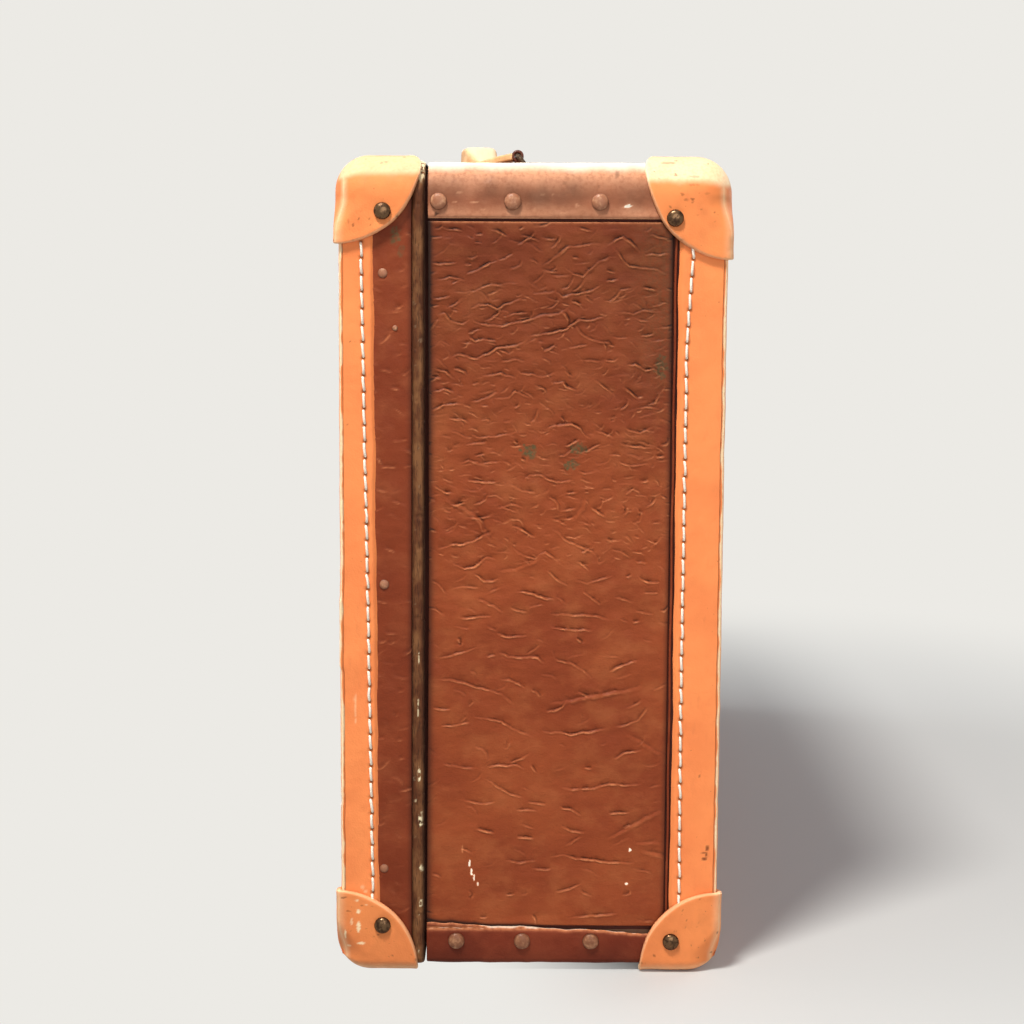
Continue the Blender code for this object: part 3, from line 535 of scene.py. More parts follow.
def thread_finish():
    """Waxed linen thread, twisted."""
    finish = Finish("linen_thread", (252, 245, 230))
    finish.lay((206, 182, 150), finish.patches(0.5 * MM, 2, 0.4, 0.62, stretch=(1, 1, 1.6)), 0.5)
    finish.lay((150, 84, 52), finish.painted("soil"))
    finish.emboss(finish.noise(0.35 * MM, 2), 0.12 * MM)
    return finish.done()


def leather_finish():
    """Handle leather: pale tan, with a painted highlight along its top and painted shade on its underside."""
    finish = Finish("pale_leather_painted_highlight", (206, 158, 104), roughness=0.5, coat=0.1)
    finish.lay((232, 196, 146), finish.patches(12 * MM, 5, 0.4, 0.7))
    finish.lay((138, 84, 50), finish.patches(1.2 * MM, 4, 0.55, 0.75), 0.5)
    finish.lay((250, 232, 200), finish.painted("wear"))
    finish.lay((86, 42, 26), finish.painted("soil"))
    finish.emboss(finish.cells(1.0 * MM), 0.08 * MM)
    finish.emboss(finish.noise(5 * MM, 4), 0.35 * MM)
    return finish.done()


FIBRE = fibre_finish("brown_fibre", (146, 70, 38), (120, 50, 28), (162, 90, 52))
BAND = fibre_finish("side_band_fibre", (126, 56, 31), (108, 44, 25), (146, 76, 46), grain=0.8)
# Its rubbed colour also paints the highlight on the strip's rounded top
TOP_FIBRE = fibre_finish("pink_top_fibre", (166, 104, 74), (142, 82, 58), (196, 138, 106), grain=0.9,
                         rubbed=(232, 170, 130))
LOW_FIBRE = fibre_finish("dark_bottom_fibre", (114, 47, 28), (86, 33, 21), (136, 64, 40), grain=0.8)
TAN = tan_finish("tan_binding", (244, 143, 83), (230, 126, 72))
TAN_CAP = tan_finish("tan_cap", (236, 140, 80), (220, 123, 70))
BEAD = bead_finish()
DARK_BRASS = metal_finish("dark_brass", (106, 80, 56), (60, 42, 30), 0.24)
RIVET_PAINT = painted_metal_finish("brown_rivet_paint", (152, 98, 70), (184, 134, 100))
LOW_RIVET_PAINT = painted_metal_finish("dark_rivet_paint", (124, 76, 50), (170, 122, 88))
STEEL = metal_finish("grey_steel", (170, 164, 152), (128, 116, 98), 0.38)
DARK_STEEL = metal_finish("dark_steel", (92, 76, 60), (60, 46, 36), 0.45)
LOCK_BRASS = metal_finish("lock_brass", (208, 174, 110), (180, 144, 88), 0.3)
THREAD = thread_finish()
LEATHER = leather_finish()
BOARD = paper_finish("grey_board", (120, 84, 64), (78, 48, 36), 1.5 * MM)
LINING = paper_finish("lining_paper", (216, 198, 164), (190, 162, 122), 0.9 * MM)
# Nearly black paper: painted shade in the grooves round the end panels and in the gap at the mouth band
SHADE_BACKING = paper_finish("shade_dark_backing", (72, 30, 20), (46, 18, 12), 1.5 * MM)


# Creases of the right end panel, from its top to its foot: y and z in millimetres of each place along a fold
picked_creases = (
    (34, 345, 38, 348, 41, 349, 46, 346, 50, 342), (4, 335, 9, 339, 15, 344, 20, 345, 26, 346, 32, 346),
    (51, 341, 58, 341, 63, 342), (15, 335, 19, 332, 23, 331, 26, 334, 31, 338, 38, 340),
    (38, 344, 41, 339, 44, 336, 50, 335, 56, 335, 63, 332), (34, 334, 38, 333),
    (-31, 332, -25, 334, -20, 337, -16, 338), (-44, 329, -38, 331, -31, 329),
    (-46, 336.5, -41, 336.5, -35, 337), (-30, 322, -23, 326, -18, 327, -7, 328),
    (11, 324, 14, 322, 18, 323, 25, 324, 31, 327), (33, 320, 36, 320, 41, 325, 46, 326), (51, 326, 57, 325),
    (-39, 316, -32, 321), (-28, 316, -24, 318, -20, 318, -16, 316, -13, 318, -5, 321),
    (-43, 313, -40, 314, -36, 310, -32, 309, -29, 311),
    (-27, 311, -23, 309, -13, 308, -5, 310, 4, 313, 12, 314, 17, 317),
    (38, 314, 42, 315, 47, 314, 51, 316, 59, 315),
    (-1, 303, 4, 304, 11, 306, 15, 307, 21, 311, 29, 311, 34, 313),
    (20, 308, 24, 304, 30, 301, 35, 301, 38, 298), (-29, 303, -26, 301, -22, 302, -16, 301),
    (37, 303, 44, 303), (50, 304, 56, 305), (16, 298, 20, 299, 25, 300),
    (-38, 293, -35, 295, -30, 294, -25, 293, -22, 295, -16, 298, -7, 299, -2, 302),
    (-14, 292, -8, 293, -3, 292), (44, 291, 48, 291, 52, 288, 56, 289, 60, 285),
    (-44, 288, -39, 287, -35, 283), (-23, 285, -20, 285, -14, 287, -11, 285, -7, 284),
    (-7, 288, -5, 286, 1, 286, 5, 285, 10, 287), (9, 282, 15, 283, 17, 280, 21, 278),
    (29, 283, 33, 281, 38, 277), (-46, 277, -41, 279, -35, 277),
    (-17, 275, -11, 275, -8, 278, -5, 277, -1, 275), (42, 280, 50, 275), (-28, 273, -24, 274, -16, 278),
    (-46, 269, -41, 271, -32, 272), (45, 269, 53, 271, 60, 270), (6, 260, 10, 262, 19, 263, 23, 261, 27, 256),
    (-28, 258, -24, 256, -16, 257, -7, 259), (44, 261, 50, 259, 55, 262), (-31, 253, -21, 254),
    (41, 254, 45, 253, 57, 252), (-34, 244, -29, 246, -24, 244, -20, 245, -14, 245),
    (40, 245, 46, 244, 54, 245), (22, 241, 25, 240, 30, 241), (-29, 236, -24, 236, -21, 235, -16, 236),
    (-4, 236, -1, 239, 4, 239, 9, 237, 12, 236, 20, 237), (-45, 234, -40, 231, -36, 230),
    (-8, 234, -4, 232, 2, 231), (-37, 225, -30, 226), (-16, 223, -9, 226, -3, 223), (28, 224, 35, 220),
    (-30, 219, -25, 218.5, -18, 220), (-9, 215, -3, 213, 2, 210),
    (10, 214, 16, 209, 22, 206, 29, 203, 32, 198, 35, 199),
    (-43, 204, -37, 206, -31, 206, -27, 208, -18, 213), (-8, 205, -5, 202, 2, 200, 7, 203, 11, 200, 16, 196),
    (-36, 197, -31, 195, -27, 196, -22, 200, -16, 199), (8, 194, 12, 190, 18, 187),
    (-27, 192, -22, 189, -18, 189, -15, 190), (21, 190, 26, 188, 31, 190, 38, 192),
    (51, 191, 55, 189, 61, 189), (-38, 185, -32, 186, -24, 186), (-7, 184, -3, 184, 2, 183, 11, 180),
    (-24, 180, -17, 177, -13, 174), (25, 184, 29, 181, 33, 178), (-9, 176, -2, 174),
    (-33, 171, -24, 172, -18, 172), (9, 173, 15, 174, 20, 173, 31, 173, 37, 171), (10, 167, 18, 166, 29, 166),
    (42, 171, 46, 170), (-15, 164, -11, 163, -2, 163), (-43, 152, -37, 153, -32, 155, -25, 157),
    (-14, 155, -10, 153, -2, 153, 4, 153, 7, 150), (10, 156, 12, 152, 19, 150, 25, 147, 30, 142),
    (37, 146, 44, 150, 51, 152), (-43, 142, -35, 142, -27, 139, -20, 137, -13, 135, -7, 130),
    (-14, 142, -9, 142, -2, 138), (58, 137, 65, 141), (-41, 120, -35, 120, -28, 121),
    (-26, 124, -19, 123, -13, 122, -7, 118, 2, 114), (6, 117, 12, 117, 20, 116, 28, 117, 36, 119),
    (40, 119, 46, 121, 51, 123, 55, 129), (40, 104, 45, 107, 53, 108), (-40, 101, -32, 100, -26, 99),
    (-20, 100, -14, 101, -7, 101, -2, 99), (1, 101, 4, 97), (15, 90, 21, 89, 30, 90, 38, 92, 45, 91, 53, 92),
    (-20, 94, -15, 91, -9, 87, -2, 85), (15, 81, 21, 79, 25, 76), (0, 83, 8, 82), (38, 77, 48, 78),
    (-30, 83, -23, 82, -16, 83), (-25, 70, -20, 69, -16, 67), (16, 71, 21, 69, 27, 68), (-5, 66, 3, 65),
    (-11, 54, -5, 53.5, 4, 54), (11, 56, 17, 57, 24, 55, 30, 55, 38, 54, 50, 53), (13, 39, 19, 40, 25, 43),
    (-10, 37, -6, 38), (19, 26, 25, 27, 36, 28, 43, 28))
broad_fold = ((9.6, 130.5), (38, 136.2), (53, 139.0))
crease_depth = 0.85 * MM
groove_half_width = 0.42 * MM
lip_distance = 0.8 * MM


def bent_line(random, u, v, length, heading_spread, bend_spread):
    """A fold of four points, mostly level, from (u, v)."""
    heading = random.normal(0, heading_spread)
    bend = random.normal(0, bend_spread)
    line = [(u, v)]
    for _ in range(3):
        heading += bend + random.normal(0, 0.14)
        u += length / 3 * math.cos(heading)
        v += length / 3 * math.sin(heading)
        line.append((u, v))
    return line


def random_creases(low, high, count, seed, lengths):
    """Bent folds, mostly level, scattered between low and high, with a depth share for each."""
    random = np.random.default_rng(seed)
    found = []
    for _ in range(count):
        u, v = random.uniform(low[0], high[0]), random.uniform(low[1], high[1])
        length = lengths[0] + (lengths[1] - lengths[0]) * random.uniform() ** 2
        found.append((bent_line(random, u, v, length, 0.22, 0.16), random.uniform(0.25, 0.9)))
    return found


def even_creases(low, high, gap, seed, thinning=0.0, avoid=()):
    """Short bent folds in uneven rows, thinned out towards the foot and clear of those in avoid."""
    random = np.random.default_rng(seed)
    taken = np.array([point for line, _ in avoid for point in line]).reshape(-1, 2)
    found = []
    v = high[1] - gap[1] / 2
    row = 0
    while v > low[1]:
        sparse = 1 + thinning * (1 - (v - low[1]) / (high[1] - low[1])) ** 1.5
        for u in np.arange(low[0] - (row % 2) * gap[0] / 2, high[0], gap[0] * sparse):
            length = gap[0] * random.uniform(0.3, 1.1)
            at_u = u + random.uniform(-0.35, 0.35) * gap[0]
            at_v = v + random.uniform(-0.42, 0.42) * gap[1]
            line = bent_line(random, at_u, at_v, length, 0.16, 0.22)
            strength = 0.2 + 0.75 * random.uniform() ** 1.4
            if len(taken) and np.hypot(*(taken - np.mean(line, axis=0)).T).min() < 3.4 * MM:
                continue
            found.append((line, strength))
        v -= gap[1] * sparse
        row += 1
    return found


def fold_profile(signed, half, lip_at):
    """Height, painted highlight on the ridge and painted shade in the groove, across a fold. Signed is the
    distance below its line.
    """
    groove = np.where(signed < 0, np.exp(np.minimum(signed, 0) / (2.8 * half)), bell(signed, 0.7 * half))
    lip = bell(signed - lip_at, 0.95 * half)
    return 0.6 * lip - groove, bell(signed - lip_at, 0.7 * half), bell(signed + 0.4 * half, 0.8 * half)


def carve(across, up, creases, depth, spread=1.0):
    """Height, painted highlight (partly wear) on the ridges and painted shade in the grooves of folded
    creases, on the grid of up (rows) by across (columns).
    """
    height = np.zeros((len(up), len(across)))
    wear = np.zeros_like(height)
    dark = np.zeros_like(height)
    margin = 8 * groove_half_width * spread
    all_u, all_v = np.meshgrid(across, up)
    ragged_u = 0.6 * MM * layered_noise(all_u, all_v, 5 * MM, 7, 3)
    ragged_v = 0.45 * MM * layered_noise(all_u, all_v, 5 * MM, 8, 3)
    broken = smooth_share(layered_noise(all_u, all_v, 3 * MM, 9, 3), -0.7, 0.5)
    for line, strength in creases:
        line = np.asarray(line, float)
        rows = slice(*np.searchsorted(up, (line[:, 1].min() - margin, line[:, 1].max() + margin)))
        columns = slice(*np.searchsorted(across, (line[:, 0].min() - margin, line[:, 0].max() + margin)))
        u, v = np.meshgrid(across[columns], up[rows])
        if u.size == 0:
            continue
        u = u + ragged_u[rows, columns]
        v = v + ragged_v[rows, columns]
        spans = np.diff(line, axis=0)
        lengths = np.hypot(*spans.T)
        total = lengths.sum()
        best = np.full(u.shape, 1.0)
        below = np.zeros(u.shape)
        place = np.zeros(u.shape)
        for k, (span, length) in enumerate(zip(spans, lengths)):
            share = np.clip(((u - line[k, 0]) * span[0] + (v - line[k, 1]) * span[1]) / length ** 2, 0, 1)
            off_u = u - line[k, 0] - span[0] * share
            off_v = v - line[k, 1] - span[1] * share
            distance = np.hypot(off_u, off_v)
            side = np.sign(span[0]) * (span[1] * off_u - span[0] * off_v)
            nearer = distance < best
            best = np.where(nearer, distance, best)
            below = np.where(nearer, np.sign(side), below)
            place = np.where(nearer, lengths[:k].sum() + share * length, place)
        fade = np.sin(np.pi * np.clip(place / total, 0, 1)) ** 0.6 * strength
        fade = fade * (0.45 + 0.55 * broken[rows, columns])
        signed = best * below
        half = groove_half_width * spread
        profile, ridge, hollow_shade = fold_profile(signed, half, lip_distance * spread)
        height[rows, columns] += depth * fade * profile
        # Pale lips: painted highlight, partly wear. Dark grooves: painted shade
        wear[rows, columns] = np.maximum(wear[rows, columns], fade ** 2 * ridge)
        dark[rows, columns] = np.maximum(dark[rows, columns], fade * hollow_shade)
    return height, wear, dark


# How much nearer to the bead the sheets of the base reach than in the frame, by height, in millimetres
mouth_reach = ((20, 190, 360), (1.3, 0.3, 0.9))


def towards_mouth(y, z, low_y, high_y):
    """Stretches a sheet of the base towards the bead."""
    return y - np.interp(z / MM, *mouth_reach) * MM * (high_y - y) / (high_y - low_y)


# Marks of the right end: their place (y, z), half width and half height in millimetres, and strength
panel_stains = ((-1.0, 249.6, 4.0, 3.0, 0.5), (18.6, 243.7, 3.0, 2.2, 0.5), (21.3, 250.7, 3.4, 2.6, 0.45),
                (59.3, 289.8, 3.2, 5.0, 0.4))
panel_chips = ((-31.0, 59.0, 0.35, 1.6, 0.5), (-27.6, 52.0, 0.45, 2.2, 1.0), (-26.6, 48.6, 0.7, 1.9, 1.0),
               (-25.4, 45.6, 0.45, 1.5, 0.9), (-23.6, 42.6, 0.5, 1.1, 0.9),
               (47.9, 59.3, 0.8, 0.8, 1.0), (46.7, 42.7, 0.9, 0.7, 1.0))
band_stains = ((-63.4, 348.2, 2.0, 4.5, 0.4), (-60.5, 342.0, 1.6, 2.4, 0.25))
shade_at_top = 0.38


def spots(marks, across, up):
    """The strength of soft edged spots, given in millimetres, at each place."""
    strength = np.zeros_like(across)
    ragged = 0.45 * layered_noise(across, up, 1.8 * MM, 17, 3)
    for u, v, half_u, half_v, most in marks:
        away = np.hypot((across - u * MM) / (half_u * MM), (up - v * MM) / (half_v * MM)) + ragged
        strength = np.maximum(strength, most * smooth_share(1.2 - away, 0, 0.35))
    return strength


def sheet_edge(u, v, low, high):
    """The distance of each place from the nearest edge of a sheet, from low to high."""
    return np.minimum(np.minimum(u - low[0], high[0] - u), np.minimum(v - low[1], high[1] - v))


# The end panels: their mesh steps near the camera and far from it, how far their edges stay flat, the gaps
# between creases and between nicks, and the lengths and numbers of broad folds
panel_step = (0.36 * MM, 0.9 * MM)
flat_margin = 5 * MM
crease_gap = (9.5 * MM, 4.5 * MM)
nick_gap = (6.5 * MM, 3.9 * MM)
broad_lengths = (14 * MM, 40 * MM)
broad_counts = (8, 22)


def make_end_panel(side):
    """The fibre sheet on one end of the base, creased all over and puffed between the creases."""
    name = f"base_end_panel_{SIDES[side]}"
    near = side > 0
    low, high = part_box(name)
    step, broad_count = [pair[0 if near else 1] for pair in (panel_step, broad_counts)]
    across, sunk_y = edge_levels(low.y, high.y, step, panel_rounding)
    up, sunk_z = edge_levels(low.z, high.z, step, panel_rounding)
    y, z = np.meshgrid(across, up)
    picked = [(np.reshape(line, (-1, 2)) * MM, 0.85 + 0.15 * (-1) ** k)
              for k, line in enumerate(picked_creases if near else ())]
    thinning = 1.1 + 0.6 * near
    scattered = even_creases(low.yz, high.yz, crease_gap, 11 + side, thinning, picked)
    creases, wear, dark = carve(across, up, picked + scattered, crease_depth)
    small = even_creases((low.y, 195 * MM), (high.y, 325 * MM), nick_gap, 15 + side)
    nicks, nick_wear, nick_shade = carve(across, up, small, 0.5 * crease_depth, spread=0.8)
    broad = random_creases(low.yz, (high.y, high.z * 0.8), broad_count, 13 + side, broad_lengths)
    broad.append((np.array(broad_fold) * MM, 0.9))
    folds, fold_wear, fold_shade = carve(across, up, broad, crease_depth, spread=2.0)
    puff = uneven(y, z * 1.7, panel_puff, 21 + side, 4)
    puff += uneven(y, z * 1.9, small_panel_puff, 24 + side, 2) * smooth_share(z, 60 * MM, 250 * MM)
    height = panel_level + (creases + nicks) + folds + puff
    inner = smooth_share(sheet_edge(y, z, low.yz, high.yz), 0, flat_margin)
    height = panel_level + (height - panel_level) * inner
    height -= np.maximum(sunk_y[None, :], sunk_z[:, None])
    # Crease lips are pale, with painted highlight that is partly wear, and there is a pale line along the top
    # edge
    wear = np.maximum(wear, nick_wear)
    wear = np.clip(wear + fold_wear * 0.25 + 0.6 * bell(high.z - z, 0.8 * MM), 0, 0.6)
    # Painted shade in the grooves by the bead and the binding, darkening towards the top and in the creases,
    # and a painted shadow just above the bottom strip's peeled edge
    soil = 0.75 * bell(y - low.y, 2.2 * MM) + 0.6 * bell(high.y - y, 1.6 * MM)
    soil += shade_at_top * smooth_share(z, 190 * MM, 350 * MM)
    soil += 0.8 * np.maximum(dark, 0.6 * nick_shade) + 0.4 * fold_shade
    soil += 0.95 * bell(z - peeled_height(y) - 0.4 * MM, 1.1 * MM)
    stain = 0.0
    if near:
        olive = 0.16 * smooth_share(y, 36 * MM, 62 * MM) * smooth_share(z, 235 * MM, 330 * MM)
        stain = np.maximum(spots(panel_stains, y, z), olive)
        wear = np.maximum(wear, spots(panel_chips, y, z))
    points = places_at(side * (half_length + height), towards_mouth(y, z, low.y, high.y), z)
    make_sheet(f"end_fibre_{SIDES[side]}", FIBRE, "base", "grained_fibre", name, points, flip=near, wear=wear,
               soil=np.clip(soil, 0, 1), stain=stain)


def make_end_backing(side):
    """Dark paper on the board under the end panel, nearly black, which shows as painted shade in the grooves
    round it, and a welt in one.
    """
    panel_low, panel_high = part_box(f"base_end_panel_{SIDES[side]}")
    binding_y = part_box("base_binding")[0].y
    across = steps_between(base_mouth_y, binding_y + 1 * MM, 1.5 * MM)
    up = steps_between(panel_low.z - 2 * MM, panel_high.z + 2 * MM, 4 * MM)
    y, z = np.meshgrid(across, up)
    paper = Shape()
    paper.grid(places_at(side * (half_length + backing_level + 0 * y), y, z), flip=side > 0)
    paper.piece(f"end_backing_{SIDES[side]}", SHADE_BACKING, "base", "grained_fibre")
    welt_y = (panel_high.y + binding_y) / 2
    path = [(side * (half_length + welt_level), welt_y + 0.15 * MM * math.sin(z / (9 * MM)), z)
            for z in steps_between(panel_low.z, panel_high.z, 4 * MM)]
    welt = Shape()
    welt.tube(path, welt_radius)
    welt.piece(f"panel_welt_{SIDES[side]}", BAND, "base", "grained_fibre")


# Marks of the top strip, as above, and the heights over which its rounded top gets a painted highlight
strip_chips = ((-33.6, 368.9, 1.5, 0.4, 0.6), (-26.4, 364.2, 1.3, 0.4, 0.6), (-35.1, 364.1, 1.3, 0.4, 0.55),
               (43.0, 362.8, 1.6, 1.0, 1.0), (20.4, 363.1, 1.2, 0.7, 0.6), (4.4, 368.0, 1.4, 0.5, 0.55),
               (9.2, 367.6, 0.8, 0.5, 0.5), (-44.4, 361.5, 1.2, 0.4, 0.5), (14.0, 359.4, 1.2, 0.5, 0.5),
               (-22.0, 360.6, 1.1, 0.4, 0.5), (-12.0, 361.8, 0.9, 0.4, 0.5), (1.5, 361.2, 1.0, 0.4, 0.45))
strip_dots = ((-43.9, 358.9, 0.8, 0.8, 0.9), (14.6, 373.0, 1.6, 0.9, 0.5), (38.3, 377.2, 0.8, 1.4, 0.5),
              (-36.0, 373.5, 0.8, 0.7, 0.45), (30.0, 371.6, 0.7, 0.7, 0.45))
top_highlight_heights = (364 * MM, 387 * MM)

# The bottom strip's edge on the right end: its height beside the bead and at the back
peeled_from = 23.4 * MM
peeled_to = 18.6 * MM


def make_wrap(name, start, stop, material, replaced, cut_edge, seed):
    """A strip swept round the case between two turns, with a flap on each end of the case."""
    low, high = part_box(replaced)
    turns = outline_turns(start, stop)
    places, sunk = edge_levels(low.y, high.y, *strip_edge)
    turn_grid, y = np.meshgrid(turns, places)
    turn_grid = cut_edge(turn_grid, y)
    x, z = side_height(turn_grid)
    walk = np.where(np.abs(x) > half_length - 14 * MM, z, x)
    ripple = uneven(walk, y, strip_ripple, seed, 4)
    ends = [np.abs(z - side_height(turn_grid[:, column])[1]) for column in (slice(0, 1), slice(-1, None))]
    at_end = np.abs(x) > half_length - 2 * MM
    from_cut = np.where(at_end, np.minimum(*ends), 1.0)
    fold = 1.0 * MM * np.exp(-from_cut / (0.5 * MM))
    level = wrap_level + ripple * smooth_share(from_cut, 0, 4 * MM) - sunk[:, None] - fold
    px, pz = board_outline(turn_grid, level, sunk[:, None] > fold_depth)
    top = pz + middle_z
    mottle = layered_noise(walk, y * 1.5, 14 * MM, seed + 1, 4)
    # A painted highlight over the rounded top, strongest near the ends, and pale cut edges
    top_highlight = smooth_share(top + 0.7 * MM * mottle, *top_highlight_heights)
    near_end = smooth_share(np.abs(x), half_length - 60 * MM, half_length - 8 * MM)
    wear = np.maximum(0.6 * bell(from_cut, 0.9 * MM), top_highlight * (0.3 + 0.7 * near_end))
    if name == "top_strip":
        wear = np.maximum(wear, 0.28 * smooth_share(365 * MM - top + 0.8 * MM * mottle, 0, 6 * MM))
        wear = np.maximum(wear, np.where(x > 0, spots(strip_chips, y, top), 0))
        # A band of painted shade across the middle of the rounding, and dirt spots
        soil = 0.42 * bell(top - 369 * MM, 7.5 * MM) * (1 + 0.5 * mottle)
        soil = np.maximum(soil, np.where(x > 0, spots(strip_dots, y, top), 0))
    else:
        # A pale line along the peeled edge: the torn edge's own colour and a painted highlight
        broken = smooth_share(layered_noise(walk, y, 6 * MM, seed + 2, 3), -1.2, -0.4)
        wear = np.maximum(wear, 0.8 * broken * np.exp(-((from_cut / (0.45 * MM)) ** 4)) * at_end)
        # Darker towards the bottom
        soil = 0.3 * smooth_share(17 * MM - top, 0, 16 * MM)
    points = places_at(px, towards_mouth(y, top, low.y, high.y), top)
    make_sheet(name, material, "base", "grained_fibre", replaced, points, wear=wear, soil=soil)


def turn_at_height(z):
    """The turn at which the right side stands at height z."""
    low = middle_z - half_height + foot_radius
    high = middle_z + half_height - corner_radius
    return (z - low) / (high - low)


def peeled_height(y):
    """The height of the bottom strip's edge: it slants down to the back and is torn a little."""
    share = (y - base_mouth_y) / (106 * MM)
    slant = peeled_from + (peeled_to - peeled_from) * share
    return slant + uneven(y, 0 * y, torn_edge, 31)


def peeled_edge(turn_grid, y):
    """The bottom strip's flap on the right end."""
    foot = turn_at_height(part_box("base_bottom_wall")[1].z)
    stretch = turn_at_height(peeled_height(y)) / foot
    return np.where(turn_grid > 8, 8 + (turn_grid - 8) * stretch, turn_grid)


def straight_edge(turn_grid, y):
    return turn_grid + 0 * y


def make_wraps():
    top_turn = turn_at_height(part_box("base_top_wall")[0].z)
    make_wrap("top_strip", top_turn, 5 - top_turn, TOP_FIBRE, "base_top_wall", straight_edge, 41)
    foot_turn = turn_at_height(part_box("base_bottom_wall")[1].z)
    make_wrap("bottom_strip", 5 - foot_turn, 8 + foot_turn, LOW_FIBRE, "base_bottom_wall", peeled_edge, 44)


def walk_along(turns, level):
    """The distance walked along the outline at each turn."""
    x, z = board_outline(turns, level)
    return np.concatenate([[0], np.cumsum(np.hypot(np.diff(x), np.diff(z)))])


def make_side_band():
    """The lid's fibre side, all round, with a level crease here and there."""
    low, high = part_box("lid_side_band")
    low.y -= 3.0 * MM
    turns = outline_turns()
    places, sunk = edge_levels(low.y, high.y, *band_edge)
    walk = walk_along(turns, panel_level)
    marks = even_creases((low.y, 0), (high.y, walk[-1]), (9 * MM, 7.5 * MM), 51)
    creases, wear, dark = carve(places, walk, marks, 0.55 * MM)
    walk_grid, y = np.meshgrid(walk, places)
    ripple = uneven(walk_grid, y, band_ripple, 52, 4)
    level = panel_level + creases.T + ripple - sunk[:, None]
    x, z = board_outline(turns[None, :] + 0 * y, level, sunk[:, None] > fold_depth)
    z = z + middle_z
    # Painted shade along the edge by the bead and in the creases, and painted highlight on the crease lips
    soil = 0.55 * bell(high.y - y, 1.6 * MM) + 0.4 * dark.T
    make_sheet("lid_side_fibre", BAND, "lid", "band_board", "lid_side_band", places_at(x, y, z),
               wrap_columns=True, wear=0.6 * wear.T, soil=soil, stain=spots(band_stains, y, z) * (x > 0))


# Marks of the bead, as above, the heights over which its top gets a painted highlight, and where along the
# case it does
bead_chips = ((-52.0, 73.9, 0.7, 2.6, 1.0), (-51.3, 50.4, 0.7, 2.2, 1.0), (-52.5, 96.0, 0.5, 3.0, 1.0),
              (-51.8, 33.0, 0.5, 1.8, 0.9), (-53.0, 128.0, 0.35, 4.0, 0.8), (-52.6, 152.0, 0.35, 2.4, 0.7))
bead_highlight_heights = (372 * MM, 378 * MM)
bead_highlight_x = 0.28


def make_bead():
    """The proud welt along the lid's mouth: rounded, uneven and chipped towards its foot."""
    low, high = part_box("lid_bead")
    turns = outline_turns()
    places, sunk = edge_levels(low.y, high.y, *bead_edge)
    walk, y = np.meshgrid(walk_along(turns, binding_level), places)
    share = (y - low.y) / (high.y - low.y)
    wobble = uneven(walk, 0 * y, bead_wobble, 61)
    nicks = 0.35 * MM * smooth_share(layered_noise(walk, y, 3 * MM, 62, 3), 0.5, 1.1)
    level = binding_level - sunk[:, None] - 0.25 * MM * np.abs(2 * share - 1) - nicks
    x, z = board_outline(turns[None, :] + 0 * y, level, sunk[:, None] > fold_depth)
    z = z + middle_z
    near_foot = smooth_share(120 * MM - z, 0, 70 * MM)
    chips = smooth_share(layered_noise(walk, y * 2, 3.5 * MM, 63, 3), 1.1, 1.25) * (0.1 + 0.8 * near_foot)
    chips = np.maximum(chips, spots(bead_chips, y, z) * (x > 0))
    # Painted highlight at the top of the bead
    tip = smooth_share(z, *bead_highlight_heights) * (x > bead_highlight_x)
    # Painted shade along both edges, deepest on the side towards the back
    soil = 0.85 * smooth_share(share, 0.72, 1.0) + 0.5 * smooth_share(0.2 - share, 0, 0.2)
    points = places_at(x, y + wobble * (0.4 + 0 * z), z)
    make_sheet("lid_bead_welt", BEAD, "lid", "lid_bead", "lid_bead", points,
               wrap_columns=True, wear=np.clip(chips + tip, 0, 1), soil=np.clip(soil - tip, 0, 1))


# Stitching: its pitch, its distance from a binding's edge, the gap between stitches, the thread, and how far
# the caps cover it. Each stitch stands over its sheet by stitch_heights, at stitch_shares of its length
stitch_pitch = 7.7 * MM
stitch_inset = 4.5 * MM
stitch_gap = 0.8 * MM
stitch_heights = np.array([-0.9, 0.25, 0.62, 0.72, 0.62, 0.25, -0.9]) * MM
stitch_shares = (0.0, 0.05, 0.2, 0.5, 0.8, 0.95, 1.0)
thread_radius = 0.72 * MM
thread_swell = (0.8, 0.95, 1.0, 1.0, 1.0, 0.95, 0.8)
cap_cover = (22 * MM, 31 * MM)

# The stitch lines on the right end, lid side and back side: z, and y there, in millimetres
lid_line = ((54.2, 198.5, 336.7), (-74.6, -76.8, -79.1))
base_line = ((40.3, 123.1, 301.9, 337.6), (71.5, 70.9, 71.1, 73.3))


def stitch_run(shape, place, start, stop, normal, seed):
    """One line of stitches along place(turns). Gives the places of the needle holes between them."""
    random = np.random.default_rng(seed)
    normal = np.asarray(normal, float)
    line = place(np.linspace(start, stop, 400))
    walked = np.concatenate([[0], np.cumsum(np.linalg.norm(np.diff(line, axis=0), axis=1))])
    count = int(walked[-1] // stitch_pitch)
    spare = (walked[-1] - count * stitch_pitch) / 2
    holes = []
    for k in range(count):
        first = spare + k * stitch_pitch + stitch_gap
        last = first + stitch_pitch - 2 * stitch_gap
        ends = [np.array([np.interp(at, walked, line[:, axis]) for axis in range(3)]) for at in (first, last)]
        run = (ends[1] - ends[0]) / np.linalg.norm(ends[1] - ends[0])
        aside = np.cross(normal, run)
        slant = random.normal(0.18, 0.12) * MM
        bow = random.normal(0.0, 0.15) * MM
        slack = random.uniform(0.75, 1.15)
        path = []
        for share, height in zip(stitch_shares, stitch_heights):
            off = aside * (slant * (2 * share - 1) + bow * math.sin(math.pi * share))
            rise = height if height < 0 else height * slack
            path.append(ends[0] + (ends[1] - ends[0]) * share + off + normal * rise)
        shape.tube(path, thread_radius * np.array(thread_swell), sides=7, flatten=0.85)
        holes.append((ends[0] - run * stitch_gap * 0.6, normal))
        if k == count - 1:
            holes.append((ends[1] + run * stitch_gap * 0.6, normal))
    return holes


